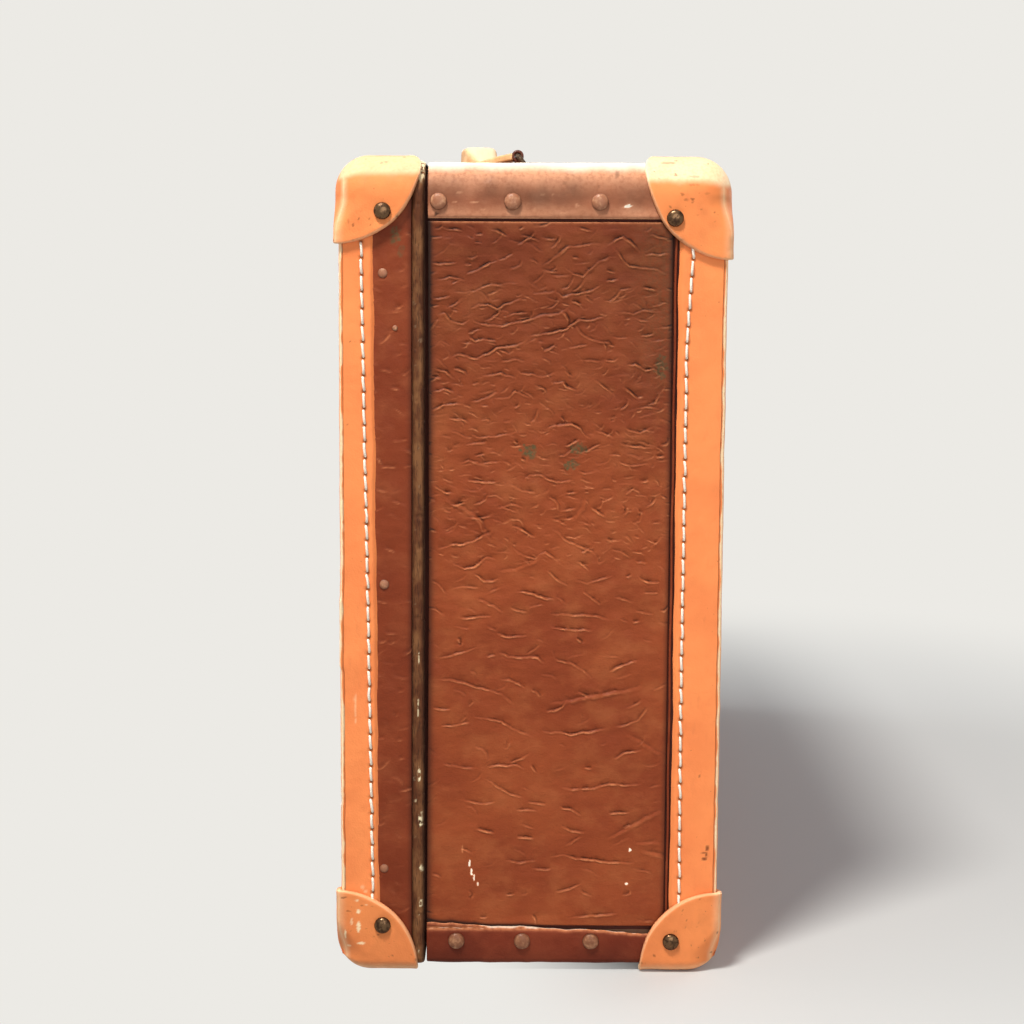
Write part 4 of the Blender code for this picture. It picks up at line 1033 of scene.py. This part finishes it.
def sew_binding(name, facing, face_plane, side_depth, body):
    """Stitches on a binding's side and face, on every side between the caps. Gives the needle holes."""
    shape = Shape()
    holes = []
    measured = base_line if facing > 0 else lid_line

    def on_side(turns):
        drop = np.full(len(turns), side_depth - stitch_inset)
        if stretch == 0:
            y = np.interp(side_height(turns)[1] / MM, *measured) * MM
            drop = binding_level - facing * (y - face_plane)
        return skin_point(turns, 0 * turns, drop, binding_level, facing, face_plane)

    def on_face(turns):
        inset = np.full(len(turns), face_width - stitch_inset)
        return skin_point(turns, inset, 0 * turns, binding_level, facing, face_plane)

    outward = {0: (1, 0, 0), 2: (0, 0, 1), 4: (-1, 0, 0), 6: (0, 0, -1)}
    for stretch, normal in outward.items():
        length = 2 * (half_length if stretch % 4 else half_height)
        low = [stretch in sides for sides in ((0, 6), (4, 6))]
        ends = np.where(low, foot_radius, corner_radius)
        covered = {0: cap_cover, 6: (cap_cover[0], cap_cover[0])}.get(stretch, cap_cover[::-1])
        trim = (np.array(covered) - ends) / (length - ends.sum())
        start, stop = stretch + trim[0], stretch + 1 - trim[1]
        holes += stitch_run(shape, on_side, start, stop, normal, 70 + stretch + facing)
        holes += stitch_run(shape, on_face, start, stop, (0, facing, 0), 80 + stretch + facing)
    shape.piece(name, THREAD, body, "tan_binding")
    return holes


# Marks of the bindings, as above, the width of a binding on the face, and the groove beside its raw edge
binding_chips = ((-82.6, 128.0, 0.5, 7.0, 0.45), (-89.6, 243.0, 1.4, 3.0, 0.5), (-89.0, 228.0, 1.2, 6.0, 0.5),
                 (-88.4, 214.0, 1.3, 3.0, 0.45), (-79.5, 41.0, 1.0, 0.8, 0.5), (-78.0, 39.0, 0.7, 0.7, 0.5),
                 (-74.6, 36.5, 0.9, 0.7, 0.4), (89.2, 70.0, 1.0, 5.0, 0.4))
binding_dirt = ((83.2, 55.6, 0.9, 0.6, 0.8), (84.4, 57.6, 0.6, 0.9, 0.8), (82.8, 58.8, 0.9, 0.5, 0.7),
                (84.6, 61.2, 0.4, 1.4, 0.7), (80.5, 96.0, 0.5, 0.5, 0.5),
                (-84.0, 300.0, 0.5, 0.5, 0.5), (-86.0, 262.0, 0.5, 0.6, 0.4))
face_width = 20 * MM
rim_groove = 1.5 * MM

# How far a binding's side edge stands back, at its foot and at its top, and the heights of the lifted flap
recess_heights = (20 * MM, 370 * MM)
lid_recess = (0.0, 2.2 * MM)
base_recess = (1.7 * MM, 1.7 * MM)
lifted_flap = (144.7 * MM, 180.9 * MM)


# Needle holes: how far round them the sheet is searched, their depth, and the widths of dimple and shade
hole_reach = 2.2 * MM
hole_depth = 0.45 * MM
hole_width = 0.9 * MM
hole_shade_width = 0.95 * MM


def press_holes(points, holes):
    """Dimples round needle holes, and the painted shade at each point there."""
    flat = points.reshape(-1, 3)
    soil = np.zeros(len(flat))
    tree = kdtree.KDTree(len(flat))
    for index, point in enumerate(flat):
        tree.insert(point, index)
    tree.balance()
    for place, normal in holes:
        for _, index, distance in tree.find_range(Vector(place), hole_reach):
            flat[index] -= normal * hole_depth * bell(distance, hole_width)
            soil[index] = max(soil[index], bell(distance, hole_shade_width))
    return soil.reshape(points.shape[:2])


def make_binding(body, facing, face_plane, node):
    """A tan binding: up the side, over the rim with its raw cream edge, partly a painted highlight, and on to
    the face.
    """
    low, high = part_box(node)
    side_depth = high.y - low.y
    far = side_depth + face_width
    first, sunk_first = edge_levels(0.0, side_depth - 3.2 * MM, *binding_side_edge)
    middle = steps_between(side_depth - 3.0 * MM, side_depth + 2.0 * MM, 0.22 * MM)
    last, sunk_last = edge_levels(side_depth + 2.6 * MM, far, *binding_face_edge)
    places = np.concatenate([first[:-3], middle, last[3:]])
    sunk = np.concatenate([sunk_first[:-3], 0 * middle, sunk_last[3:]])
    turns = outline_turns()
    turn_grid, place = np.meshgrid(turns, places)
    walk = walk_along(turns, binding_level)[None, :] + 0 * place
    wave = uneven(walk, 0 * walk, binding_wave, 90 + facing)
    towards_side = np.clip(1 - place / side_depth, 0, 1) ** 2
    towards_face = np.clip((place - side_depth) / face_width, 0, 1) ** 2
    x, z = side_height(turn_grid)
    receding = np.interp(z, recess_heights, lid_recess if facing < 0 else base_recess)
    place = place + (receding - wave) * towards_side + wave * towards_face
    inset = np.maximum(place - side_depth, 0)
    drop = np.maximum(side_depth - place, 0)
    ripple = uneven(walk, place, binding_ripple, 93 + facing)
    in_groove = bell(drop - rim_groove, 0.32 * MM) * (inset == 0)
    level = binding_level + ripple - sunk[:, None] - 0.5 * MM * in_groove
    if facing < 0:
        from_foot, from_top = z - lifted_flap[0], lifted_flap[1] - z
        flap = smooth_share(from_foot, 0, 3 * MM) * smooth_share(from_top, 0, 3 * MM)
        level = level + 0.8 * MM * flap * (x > 0) * bell(drop + inset, 1.8 * MM)
    points = skin_point(turn_grid, inset, drop, level, facing, face_plane)
    soil = press_holes(points, sew_binding(f"{body}_stitches", facing, face_plane, side_depth, body))
    y, height = points[..., 1], points[..., 2]
    on_end = (x > half_length - 2 * MM) & (inset <= 0)
    # Painted shade in the needle holes and in the groove beside the raw edge, and dirt on the right end
    soil = np.maximum(np.maximum(soil, 0.6 * in_groove), spots(binding_dirt, y, height) * on_end)
    fray = uneven(walk, place, raw_edge_fray, 96 + facing)
    # The raw edge is pale: its own colour and a painted highlight along the rim
    raw = smooth_share(rim_groove - 0.2 * MM - drop + fray, 0, 0.5 * MM)
    raw *= smooth_share(0.7 * MM - inset, 0, 0.5 * MM)
    scuffs = spots(binding_chips, y, height) * on_end
    make_sheet(f"{body}_edge_binding", TAN, body, "tan_binding", node, points, wrap_columns=True,
               flip=facing < 0, wear=np.clip(0.9 * raw + 0.7 * scuffs, 0, 1), soil=soil)


# Marks of the caps, as above
cap_chips = ((-81.8, 35.3, 0.9, 0.6, 0.9), (-81.4, 29.9, 0.7, 1.0, 0.9), (-81.2, 22.5, 0.7, 2.4, 0.9),
             (-87.6, 18.0, 0.5, 2.0, 0.8), (-80.0, 14.1, 1.6, 0.5, 0.8), (-84.5, 25.0, 0.4, 1.4, 0.6),
             (-77.5, 33.0, 0.5, 0.4, 0.7), (-86.0, 12.0, 1.0, 0.4, 0.6))
cap_dirt = ((67.9, 368.3, 1.3, 0.8, 0.8), (69.7, 366.0, 0.9, 0.7, 0.7), (72.8, 376.4, 2.2, 0.5, 0.5),
            (72.8, 372.6, 2.0, 0.45, 0.5), (61.3, 382.6, 3.0, 0.6, 0.6), (-84.7, 355.2, 0.5, 1.8, 0.4),
            (-82.6, 345.5, 0.4, 1.2, 0.4), (79.3, 368.6, 1.4, 0.8, 0.3), (68.2, 347.5, 0.9, 0.7, 0.5),
            (-66.0, 355.0, 0.4, 1.0, 0.3))

# A cap's raised lip, and the dish round its rivet
cap_lip = 0.14 * MM
dish_depth = 0.55 * MM
dish_width = 5.5 * MM

# A cap's cut edge: shares of its reach, and millimetres under its surface
cap_edge = ((0.994, 0.15), (1.0, 0.6), (1.0, 1.6), (0.997, 2.35), (0.94, 2.3))


def corner_point(end, top, facing, face_plane, dx, dy, dz, level):
    """Places points near a corner, from their distances inward from its three sharp planes."""
    radius = (corner_radius if top > 0 else foot_radius) + level
    a = radius - dx
    b = radius - dz
    rounded = (a > 0) & (b > 0)
    spread = np.maximum(np.hypot(a, b), 1e-9)
    inset = np.where(rounded, radius - np.maximum(a, b), np.minimum(dx, dz))
    fade = np.where(dx < dz, smooth_share(dz - radius, *end_fade), smooth_share(dx - radius, *long_fade))
    rim = np.maximum(cap_rim + (tight_rim - cap_rim) * fade + level, 0.1 * MM)
    inset, drop = round_over(inset, dy, rim)
    in_x = np.where(rounded, radius - (radius - inset) * a / spread, np.where(dx < dz, inset, dx))
    in_z = np.where(rounded, radius - (radius - inset) * b / spread, np.where(dx < dz, dz, inset))
    return places_at(end * (half_length + level - in_x), face_plane + facing * (level - drop),
                     middle_z + top * (half_height + level - in_z))


def make_cap(end, top, facing, face_plane, body):
    """A corner cap: three rounded lobes round the corner, dished at its rivet, with a raw pale edge. The
    edge, the rounded rims and the top are paler with wear and painted highlight.
    """
    node = f"{body}_cap_{'top' if top > 0 else 'bottom'}_{SIDES[end]}"
    low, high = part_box(node)
    reach = high - low
    rivet = sum(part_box(node.replace("cap_", "cap_rivet_")), Vector()) / 2
    steps, rows = (60, 60) if end > 0 else (16, 30)
    rings = [(share, 0.0) for share in np.linspace(0.012, 0.985, rows)] + list(cap_edge)
    share = np.array([ring[0] for ring in rings])[:, None]
    level = np.array([cap_level - ring[1] * MM for ring in rings])[:, None]
    angle = np.linspace(0, 3, 3 * steps, endpoint=False)[None, :]
    quarter = np.floor(angle).astype(int)
    turn = (angle - quarter) * math.pi / 2
    seed = 200 + end + 3 * top + 9 * facing
    wavy = 1 + 0.008 * layered_noise(angle, 0 * angle, 0.5, seed, 2)
    lowered = cap_level - level
    first = share * wavy * np.cos(turn)
    second = share * wavy * np.sin(turn)
    zero = 0 * first
    in_y = np.choose(quarter, [first * (reach.y - lowered), zero, second * (reach.y - lowered)])
    in_z = np.choose(quarter, [second * (reach.z - lowered), first * (reach.z - lowered), zero])
    in_x = np.choose(quarter, [zero, second * (reach.x - lowered), first * (reach.x - lowered)])
    x, y, z = np.moveaxis(corner_point(end, top, facing, face_plane, in_x, in_y, in_z, level + zero), -1, 0)
    away = np.hypot(y - rivet.y, z - rivet.z) + 1.0 * (quarter > 0)
    ripple = uneven(y + x, z, cap_ripple, seed + 1)
    lift = cap_lip * smooth_share(share, 0.9, 0.97) - dish_depth * bell(away, dish_width)
    height = level + (ripple + lift) * smooth_share(share, 0.0, 0.2)
    points = corner_point(end, top, facing, face_plane, in_x, in_y, in_z, height)
    # The raw edge: its own colour and a painted highlight
    edge = smooth_share(share, 0.982, 0.996) * (level > cap_level - 1.8 * MM)
    rim = np.minimum(np.minimum(np.hypot(in_x, in_y), np.hypot(in_y, in_z)), np.hypot(in_x, in_z))
    mottle = layered_noise(y + 0.7 * x, z, 6 * MM, seed + 2, 3)
    # Paler along the rounded rims and, on the top caps, over the top: painted highlight, partly rubbing
    rubbed = 0.5 * smooth_share(2.6 * MM - rim + 0.5 * MM * mottle, 0, 2.6 * MM)
    if top > 0:
        depth, strength = (14.5 * MM, 0.8) if facing > 0 else (10 * MM, 0.55)
        top_highlight = strength * smooth_share(depth - in_z + 0.8 * MM * mottle, 0, 6 * MM)
        rubbed = np.maximum(rubbed, top_highlight * (0.5 + 0.5 * smooth_share(22 * MM - rim, 0, 12 * MM)))
    rubbed = np.maximum(rubbed, 0.3 * smooth_share(6 * MM - rim, 0, 5 * MM))
    dents = smooth_share(layered_noise(y, z * 2, 2.5 * MM, seed + 4, 2), 1.02, 1.2)
    if end > 0:
        dents = np.maximum(dents, spots(cap_dirt, y, z))
        scuffs = spots(cap_chips, y, z)
    else:
        limit = 1.15 if top > 0 or facing > 0 else 0.85
        scuffs = smooth_share(layered_noise(y * 2, z, 4 * MM, seed + 3, 3), limit, limit + 0.2)
    # Darker towards the bottom
    low_down = smooth_share(40 * MM - z, 0, 40 * MM)
    shape = Shape()
    flip = end * top * facing > 0
    shape.grid(points, wrap_columns=True, flip=flip, wear=np.clip(0.3 * edge + rubbed + scuffs, 0, 1),
               soil=np.clip(0.6 * dents + 0.09 * np.clip(mottle, 0, 1) + 0.08 * low_down, 0, 1))
    shape.cover(0, points.shape[1], flip=not flip)
    shape.piece(f"{node}_leather", TAN_CAP, body, "tan_cap", node)


# Heads, from the foot to the tip: radius and height over the base in millimetres, and how dark each ring is
# painted, darkest at the foot. The tack's radii are shares of its own radius
rivet_profile = ((3.9, -1.2, 1.0), (3.9, 0.2, 0.8), (3.78, 0.6, 0.35), (3.45, 1.0, 0.0), (2.9, 1.38, 0.0),
                 (2.15, 1.68, 0.0), (1.3, 1.84, 0.0), (0.4, 1.9, 0.0))
tack_profile = ((1.0, -0.8, 1.0), (1.0, 0.2, 0.7), (0.85, 0.5, 0.2), (0.5, 0.72, 0.0), (0.15, 0.78, 0.0))

# How far a rivet's head stands out of its foot, and its tilt
head_height = 1.5 * MM
rivet_tilt = 0.04

# Tacks on the side band: y, z and radius in millimetres
tack_places = ((-69.3, 331.8, 2.3), (-63.7, 306.6, 1.3), (-68.9, 186.8, 2.3), (-69.2, 49.8, 2.1))


def add_head(shape, base, axis, across, profile, size, sides):
    """A domed head, with the profile's radii times size."""
    form = [(radius * size * MM, height * MM) for radius, height, _ in profile]
    shape.turned(base, axis, across, form, sides, [soil for *_, soil in profile])


def make_rivet(node, body, seed):
    """A domed rivet head, a little tilted and dented, in the place of its node."""
    low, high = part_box(node)
    end = 1 if high.x > 0 else -1
    outer = high.x if end > 0 else low.x
    base = Vector((outer - end * head_height, (low.y + high.y) / 2, (low.z + high.z) / 2))
    random = np.random.default_rng(seed)
    axis = Vector((end, *random.uniform(-rivet_tilt, rivet_tilt, 2))).normalized()
    across = axis.cross(Vector((0, 1, 0))).normalized()
    shape = Shape()
    add_head(shape, base, axis, across, rivet_profile, 1, 36)
    points = shape.points[0]
    dent = value_noise(points[:, 1] - base.y + 9 * MM, points[:, 2] - base.z + 9 * MM, 2.2 * MM, seed)
    points[:, 0] += end * 0.05 * MM * dent
    material, slot = DARK_BRASS, "antique_brass"
    if "cap" not in node:
        material, slot = RIVET_PAINT if base.z > middle_z else LOW_RIVET_PAINT, "painted_rivet"
    shape.piece(f"{node}_head", material, body, slot, node)


def make_tacks():
    """Small tacks in the lid's side band, the same on both ends."""
    shape = Shape()
    for end in SIDES:
        for y, z, radius in tack_places:
            base = (end * (half_length + panel_level - 0.05 * MM), y * MM, z * MM)
            add_head(shape, base, (end, 0, 0), (0, 0, 1), tack_profile, radius, 18)
    shape.piece("side_band_tacks", RIVET_PAINT, "lid", "painted_rivet")


def make_face_panel(body, facing, face_plane, node):
    """The fibre sheet inside a binding's window, on the lid's face or on the back."""
    low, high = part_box(node)
    across, sunk_x = edge_levels(low.x, high.x, *face_edges[0])
    up, sunk_z = edge_levels(low.z, high.z, *face_edges[1])
    x, z = np.meshgrid(across, up)
    seed = 300 + facing
    marks = even_creases(low.xz, high.xz, (26 * MM, 13 * MM), seed, 0.3)
    creases, wear, dark = carve(across, up, marks, crease_depth, spread=1.7)
    puff = uneven(x, z * 1.6, face_puff, seed + 1, 4)
    height = panel_level + (creases + puff) * smooth_share(sheet_edge(x, z, low.xz, high.xz), 0, 6 * MM)
    height -= np.maximum(sunk_x[None, :], sunk_z[:, None])
    rounding = window_radius - 0.3 * MM
    out_x = np.maximum(np.abs(x) - (high.x - rounding), 0)
    middle = (low.z + high.z) / 2
    out_z = np.maximum(np.abs(z - middle) - ((high.z - low.z) / 2 - rounding), 0)
    both = (out_x > 0) & (out_z > 0)
    scale = np.where(both, np.maximum(out_x, out_z) / np.maximum(np.hypot(out_x, out_z), 1e-9), 1.0)
    x = x - np.sign(x) * out_x * (1 - scale)
    z = z - np.sign(z - middle) * out_z * (1 - scale)
    points = places_at(x, face_plane + facing * height, z)
    # Painted highlight on the crease lips and painted shade in the grooves
    make_sheet(f"{node}_fibre", FIBRE, body, "grained_fibre", node, points,
               flip=facing > 0, wear=0.6 * wear, soil=0.4 * dark)


def make_lining(body, facing, face_plane, mouth_y):
    """Paper pasted inside a tray: round its walls, into its corners and over its floor."""
    depth = abs(face_plane - mouth_y) + lining_level - 0.6 * MM
    reach = half_height + lining_level - 1 * MM
    turns = outline_turns(fine=2.5 * MM, coarse=4 * MM)
    places = np.concatenate([steps_between(0, depth - 6 * MM, 3 * MM),
                             steps_between(depth - 5 * MM, depth + 6 * MM, 0.8 * MM),
                             steps_between(depth + 9 * MM, depth + reach, 6 * MM)])
    turn_grid, place = np.meshgrid(turns, places)
    inset, drop = round_over(np.maximum(place - depth, 0), np.maximum(depth - place, 0), 4.0 * MM)
    half_x = half_length + lining_level - inset
    half_z = half_height + lining_level - inset
    radius = np.maximum(corner_radius + lining_level - inset, 0.5 * MM)
    radius = np.minimum(radius, np.minimum(half_x, half_z))
    x, z = outline_point(turn_grid, half_x, half_z, radius)
    bubble = np.abs(uneven(x, z, lining_bubbles, 400 + facing)) * (inset > 6 * MM)
    shape = Shape()
    shape.grid(places_at(x, face_plane + facing * (lining_level - drop - bubble), z + middle_z),
               wrap_columns=True, flip=facing > 0)
    shape.cover(shape.count - len(turns), shape.count, flip=facing < 0)
    shape.piece(f"{body}_lining", LINING, body, "band_board")


def carry_over(name, material):
    """A better material on a CAD node whose shape stays."""
    materials = frame["nodes"][name].data.materials
    materials.clear()
    materials.append(material)


def soften(node, name, material):
    """A copy of a fitting with rounded edges, in the node's place."""
    source = frame["nodes"][node]
    mesh = source.data.copy()
    for key in ("wear", "soil"):
        mesh.attributes.new(key, "FLOAT", "POINT")
    mesh.materials.clear()
    mesh.materials.append(material)
    item = add_object(name, mesh)
    item.modifiers.new("Weld", "WELD").merge_threshold = 0.01 * MM
    bevel = item.modifiers.new("Bevel", "BEVEL")
    bevel.width = fitting_rounding
    bevel.segments = 2
    bevel.limit_method = "ANGLE"
    bevel.angle_limit = math.radians(40)
    bevel.harden_normals = False
    mesh.shade_smooth()
    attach(item, source["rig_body"])
    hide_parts(node)


def make_fittings():
    for side in SIDES.values():
        for part in ("hinge_base_leaf", "hinge_lid_leaf", "hinge_pin", "handle_bracket"):
            soften(f"{part}_{side}", f"{part}_{side}_steel", STEEL)
        for part in ("lock_case", "lock_slider", "hasp", "hasp_plate"):
            soften(f"{part}_{side}", f"{part}_{side}_brass", LOCK_BRASS)


# The handle, folded towards the lid. Its seam's stitches run at an angle from the grip's widest line
handle_half = 62 * MM
ring_lean = 7 * MM
ring_rise = 9 * MM
ring_half_width = 10.5 * MM
wire_radius = 1.5 * MM
pivot_z = 388.9 * MM
bend_radius = 22 * MM
grip_y = -30 * MM
core_size = (20 * MM, 18.4 * MM)
strap_size = (16 * MM, 4.6 * MM)
grip_fullness = 0.42
strap_start = (0.4, 0.8)
loop_radii = (1.75, 1.9, 3.2, 3.4)
sewn_half = 34 * MM
sewn_angle = 0.62


def grip_point(reach, angle):
    """Places on the grip, by distance along its middle and angle round it, and the strap share there."""
    straight = handle_half - bend_radius
    side = np.sign(reach)
    beyond = np.clip(np.abs(reach) - straight, 0, None)
    turn = np.minimum(beyond / bend_radius, math.pi / 2)
    extra = np.maximum(beyond - bend_radius * math.pi / 2, 0)
    x = np.minimum(np.abs(reach), straight) + bend_radius * np.sin(turn)
    y = grip_y + bend_radius * (1 - np.cos(turn)) + extra
    share = smooth_share(turn, *strap_start)
    grip_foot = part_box("handle_grip")[0].z
    core_z = grip_foot + core_size[1] / 2
    climb = np.clip((turn - strap_start[0]) / (math.pi / 2 - strap_start[0]), 0, 1)
    strap_low = grip_foot + 1.25 * strap_size[1]
    strap_z = strap_low + (pivot_z + ring_rise - strap_low) * climb
    middle = core_z + (strap_z - core_z) * share
    width, thick = [core + (strap - core) * share for core, strap in zip(core_size, strap_size)]
    part_a = np.sign(np.cos(angle)) * np.abs(np.cos(angle)) ** grip_fullness * width / 2
    part_b = np.sign(np.sin(angle)) * np.abs(np.sin(angle)) ** grip_fullness * thick / 2
    return places_at(side * (x + part_a * np.sin(turn)), y - part_a * np.cos(turn), middle + part_b), share


def make_grip():
    """A stuffed leather grip with a seam and stitches, flattening into straps that loop round the rings."""
    limit = handle_half - bend_radius + bend_radius * math.pi / 2 - 1.5 * MM
    around = np.linspace(0, 2 * math.pi, 48, endpoint=False)
    reach, angle = np.meshgrid(steps_between(-limit, limit, 1.0 * MM), around)
    points, share = grip_point(reach, angle)
    crease = uneven(reach, 12 * MM * np.sin(angle), grip_creases, 500)
    outward = points - points.mean(axis=0, keepdims=True)
    outward /= np.maximum(np.linalg.norm(outward, axis=-1, keepdims=True), 1e-9)
    seam = bell(np.sin(angle), 0.12) * (np.cos(angle) < 0)
    points = points + outward * (crease * (1 - 0.6 * share) - 0.5 * MM * seam * (1 - share))[..., None]
    mottle = 0.08 * layered_noise(reach, angle * 6 * MM, 9 * MM, 501)
    shape = Shape()
    # Painted highlight along the top of the grip and painted shade on its underside
    shape.grid(points.transpose(1, 0, 2), wrap_columns=True, flip=True,
               wear=0.7 * smooth_share(np.sin(angle) + mottle, 0.5, 1.0).T,
               soil=0.8 * smooth_share(-np.sin(angle), 0.3, 0.8).T)
    shape.cover(0, len(around))
    shape.cover(shape.count - len(around), shape.count, flip=True)
    half = strap_size[0] / 2
    inner, inner_edge, outer_edge, outer = loop_radii
    section = [(-half, inner_edge), (-half + 0.5 * MM, inner), (half - 0.5 * MM, inner), (half, inner_edge),
               (half, outer_edge), (half - 0.5 * MM, outer), (-half + 0.5 * MM, outer), (-half, outer_edge)]
    for side in SIDES:
        loop = [[(side * handle_half + along, -ring_lean + radius * MM * math.cos(turn),
                  pivot_z + ring_rise + radius * MM * math.sin(turn)) for along, radius in section]
                for turn in np.linspace(0, 2 * math.pi, 40, endpoint=False)]
        shape.grid(np.array(loop), wrap_rows=True, wrap_columns=True, soil=1.0)
    shape.piece("handle_leather", LEATHER, "handle", "handle_leather", "handle_grip")
    sewing = Shape()
    for angle_up, lean in ((sewn_angle, -0.25), (math.pi - sewn_angle, 0.25)):
        stitch_run(sewing, lambda line: grip_point(line, angle_up + 0 * line)[0], -sewn_half, sewn_half,
                   (0, lean, 0.97), 510)
    sewing.piece("handle_stitches", THREAD, "handle", "handle_leather")


def make_rings():
    """The handle's wire rings, leaning from their pivots to the straps."""
    reach_up = math.hypot(ring_lean, ring_rise)
    along, up = outline_point(np.linspace(0, 8, 96, endpoint=False), ring_half_width, reach_up / 2, 3 * MM)
    rise = (up + reach_up / 2) / reach_up
    for side, end in SIDES.items():
        ring = Shape()
        ring.tube(places_at(side * handle_half + along, -ring_lean * rise, pivot_z + ring_rise * rise),
                  wire_radius, sides=16, closed=True)
        ring.piece(f"handle_ring_{end}_wire", DARK_STEEL, "handle", "fitting_steel", f"handle_ring_{end}")


# Camera, fitted to the edges of the case in the photograph
camera_place = (1.220, -0.00916, 0.33346)
camera_pitch = math.radians(6.919)
camera_roll = math.radians(0.319)
focal_pixels = 1993.9
frame_pixels = 1024
sensor_width = 36.0


def make_camera():
    data = bpy.data.cameras.new("camera")
    data.sensor_width = sensor_width
    data.lens = focal_pixels * sensor_width / frame_pixels
    camera = add_object("camera", data)
    forward = Vector((-math.cos(camera_pitch), 0, -math.sin(camera_pitch)))
    right = forward.cross(Vector((0, 0, 1))).normalized()
    up = right.cross(forward)
    across = math.cos(camera_roll) * right + math.sin(camera_roll) * up
    upward = -math.sin(camera_roll) * right + math.cos(camera_roll) * up
    camera.matrix_world = Matrix((across, upward, -forward)).transposed().to_4x4()
    camera.location = camera_place
    bpy.context.scene.camera = camera


# Stage: a pale floor with a step down in front of the case, where the opened lid hangs
step_y = -30 * MM
step_drop = 0.46
floor_reach = 8.0
floor_fade = (0.25, 0.85)
step_fade = 0.11
backdrop_tone = (236, 234, 229)
floor_tone = (194, 195, 194)


def background_rays(tree):
    """1 for rays that show the backdrop, to the camera, in gloss or in glass, and 0 for all others."""
    path = add_node(tree, "LightPath")
    share = path.outputs["Is Camera Ray"]
    for name in ("Is Glossy Ray", "Is Transmission Ray"):
        share = add_node(tree, "Math", (share, path.outputs[name]), operation="MAXIMUM").outputs[0]
    return share


def show_backdrop(tree, share, lit, kind, output):
    """Mixes the backdrop's plain colour into a lit shader, by share."""
    glow = add_node(tree, kind, {"Color": colour(*backdrop_tone)})
    blend = add_node(tree, "MixShader", (share, lit.outputs[0], glow.outputs[0]))
    tree.links.new(blend.outputs[0], tree.nodes[output].inputs["Surface"])


def floor_finish(name, fading):
    """Pale floor in the backdrop's colour, all over or fading into it with distance."""
    finish = Finish(name, floor_tone, roughness=0.9)
    finish.shader.inputs["Base Color"].default_value = finish.body
    share = background_rays(finish.tree)
    if fading:
        length = finish.node("VectorMath", (finish.place,), operation="LENGTH")
        axes = finish.node("SeparateXYZ", (finish.place,))
        away = finish.times(finish.level(length.outputs["Value"], *floor_fade),
                            finish.level(axes.outputs["Y"], step_y, step_y + step_fade, 1.0, 0.0), "MAXIMUM")
        share = finish.times(share, away)
    show_backdrop(finish.tree, share, finish.shader, "Emission", "Material Output")
    return finish.material


def make_stage():
    """The floor behind the step, the step, and the lower floor before it."""
    fading = floor_finish("pale_floor", fading=True)
    plain = floor_finish("backdrop_floor", fading=False)
    low = -step_drop
    planes = {"floor": (fading, (step_y, 0), (floor_reach, 0)),
              "floor_front": (plain, (-floor_reach, low), (step_y, low)),
              "floor_step": (plain, (step_y, low), (step_y, 0))}
    for name, (material, near, far) in planes.items():
        mesh = bpy.data.meshes.new(name)
        corners = [(-floor_reach, *near), (floor_reach, *near), (floor_reach, *far), (-floor_reach, *far)]
        mesh.from_pydata(corners, [], [(0, 1, 2, 3)])
        mesh.materials.append(material)
        add_object(name, mesh)


# What the lamps aim at
lit_place = (0.1, 0, 0.19)


def add_light(name, place, size, power, tint=(1, 1, 1)):
    data = bpy.data.lights.new(name, "AREA")
    data.shape = "DISK"
    data.size = size
    data.energy = power
    data.color = tint
    light = add_object(name, data)
    light.location = place
    light.rotation_euler = (Vector(lit_place) - Vector(place)).to_track_quat("-Z", "Y").to_euler()


def make_lights():
    """A high key light, in front of the near end and to its left, with weak fills all round."""
    add_light("key", (0.93, -0.4, 1.65), 0.35, 35, (1.0, 0.97, 0.92))
    add_light("front_fill", (2.3, 0.3, 0.75), 1.4, 12.5)
    add_light("lid_fill", (-0.5, -2.2, 1.3), 1.6, 22)
    add_light("back_fill", (-1.4, 2.0, 1.1), 1.6, 22)
    world = bpy.data.worlds.new("studio")
    world.use_nodes = True
    bpy.context.scene.world = world
    fill = world.node_tree.nodes["Background"]
    fill.inputs["Color"].default_value = (0.78, 0.8, 0.85, 1)
    fill.inputs["Strength"].default_value = 0.3
    show_backdrop(world.node_tree, background_rays(world.node_tree), fill, "Background", "World Output")
    bpy.context.scene.view_settings.view_transform = "Standard"


def make_case():
    for side in SIDES:
        make_end_panel(side)
        make_end_backing(side)
    make_wraps()
    make_side_band()
    make_bead()
    for body, facing, face_plane in (("lid", -1, lid_face_y), ("base", 1, back_face_y)):
        make_binding(body, facing, face_plane, f"{body}_binding")
        for end in SIDES:
            for top in (1, -1):
                make_cap(end, top, facing, face_plane, body)
    make_face_panel("lid", -1, lid_face_y, "lid_panel")
    make_face_panel("base", 1, back_face_y, "back_panel")
    make_lining("lid", -1, lid_face_y, lid_mouth_y)
    make_lining("base", 1, back_face_y, base_mouth_y)
    rivets = sorted(name for name in frame["nodes"] if "rivet" in name)
    for seed, node in enumerate(rivets, 600):
        make_rivet(node, "lid" if node.startswith("lid") else "base", seed)
    make_tacks()
    # The mouth band is nearly black: painted shade in the gap between lid and base
    for name, material in (("base_tray", BOARD), ("lid_tray", BOARD), ("mouth_band", SHADE_BACKING)):
        carry_over(name, material)


make_camera()
make_stage()
make_lights()
make_case()
make_fittings()
make_grip()
make_rings()

bpy.context.view_layer.update()
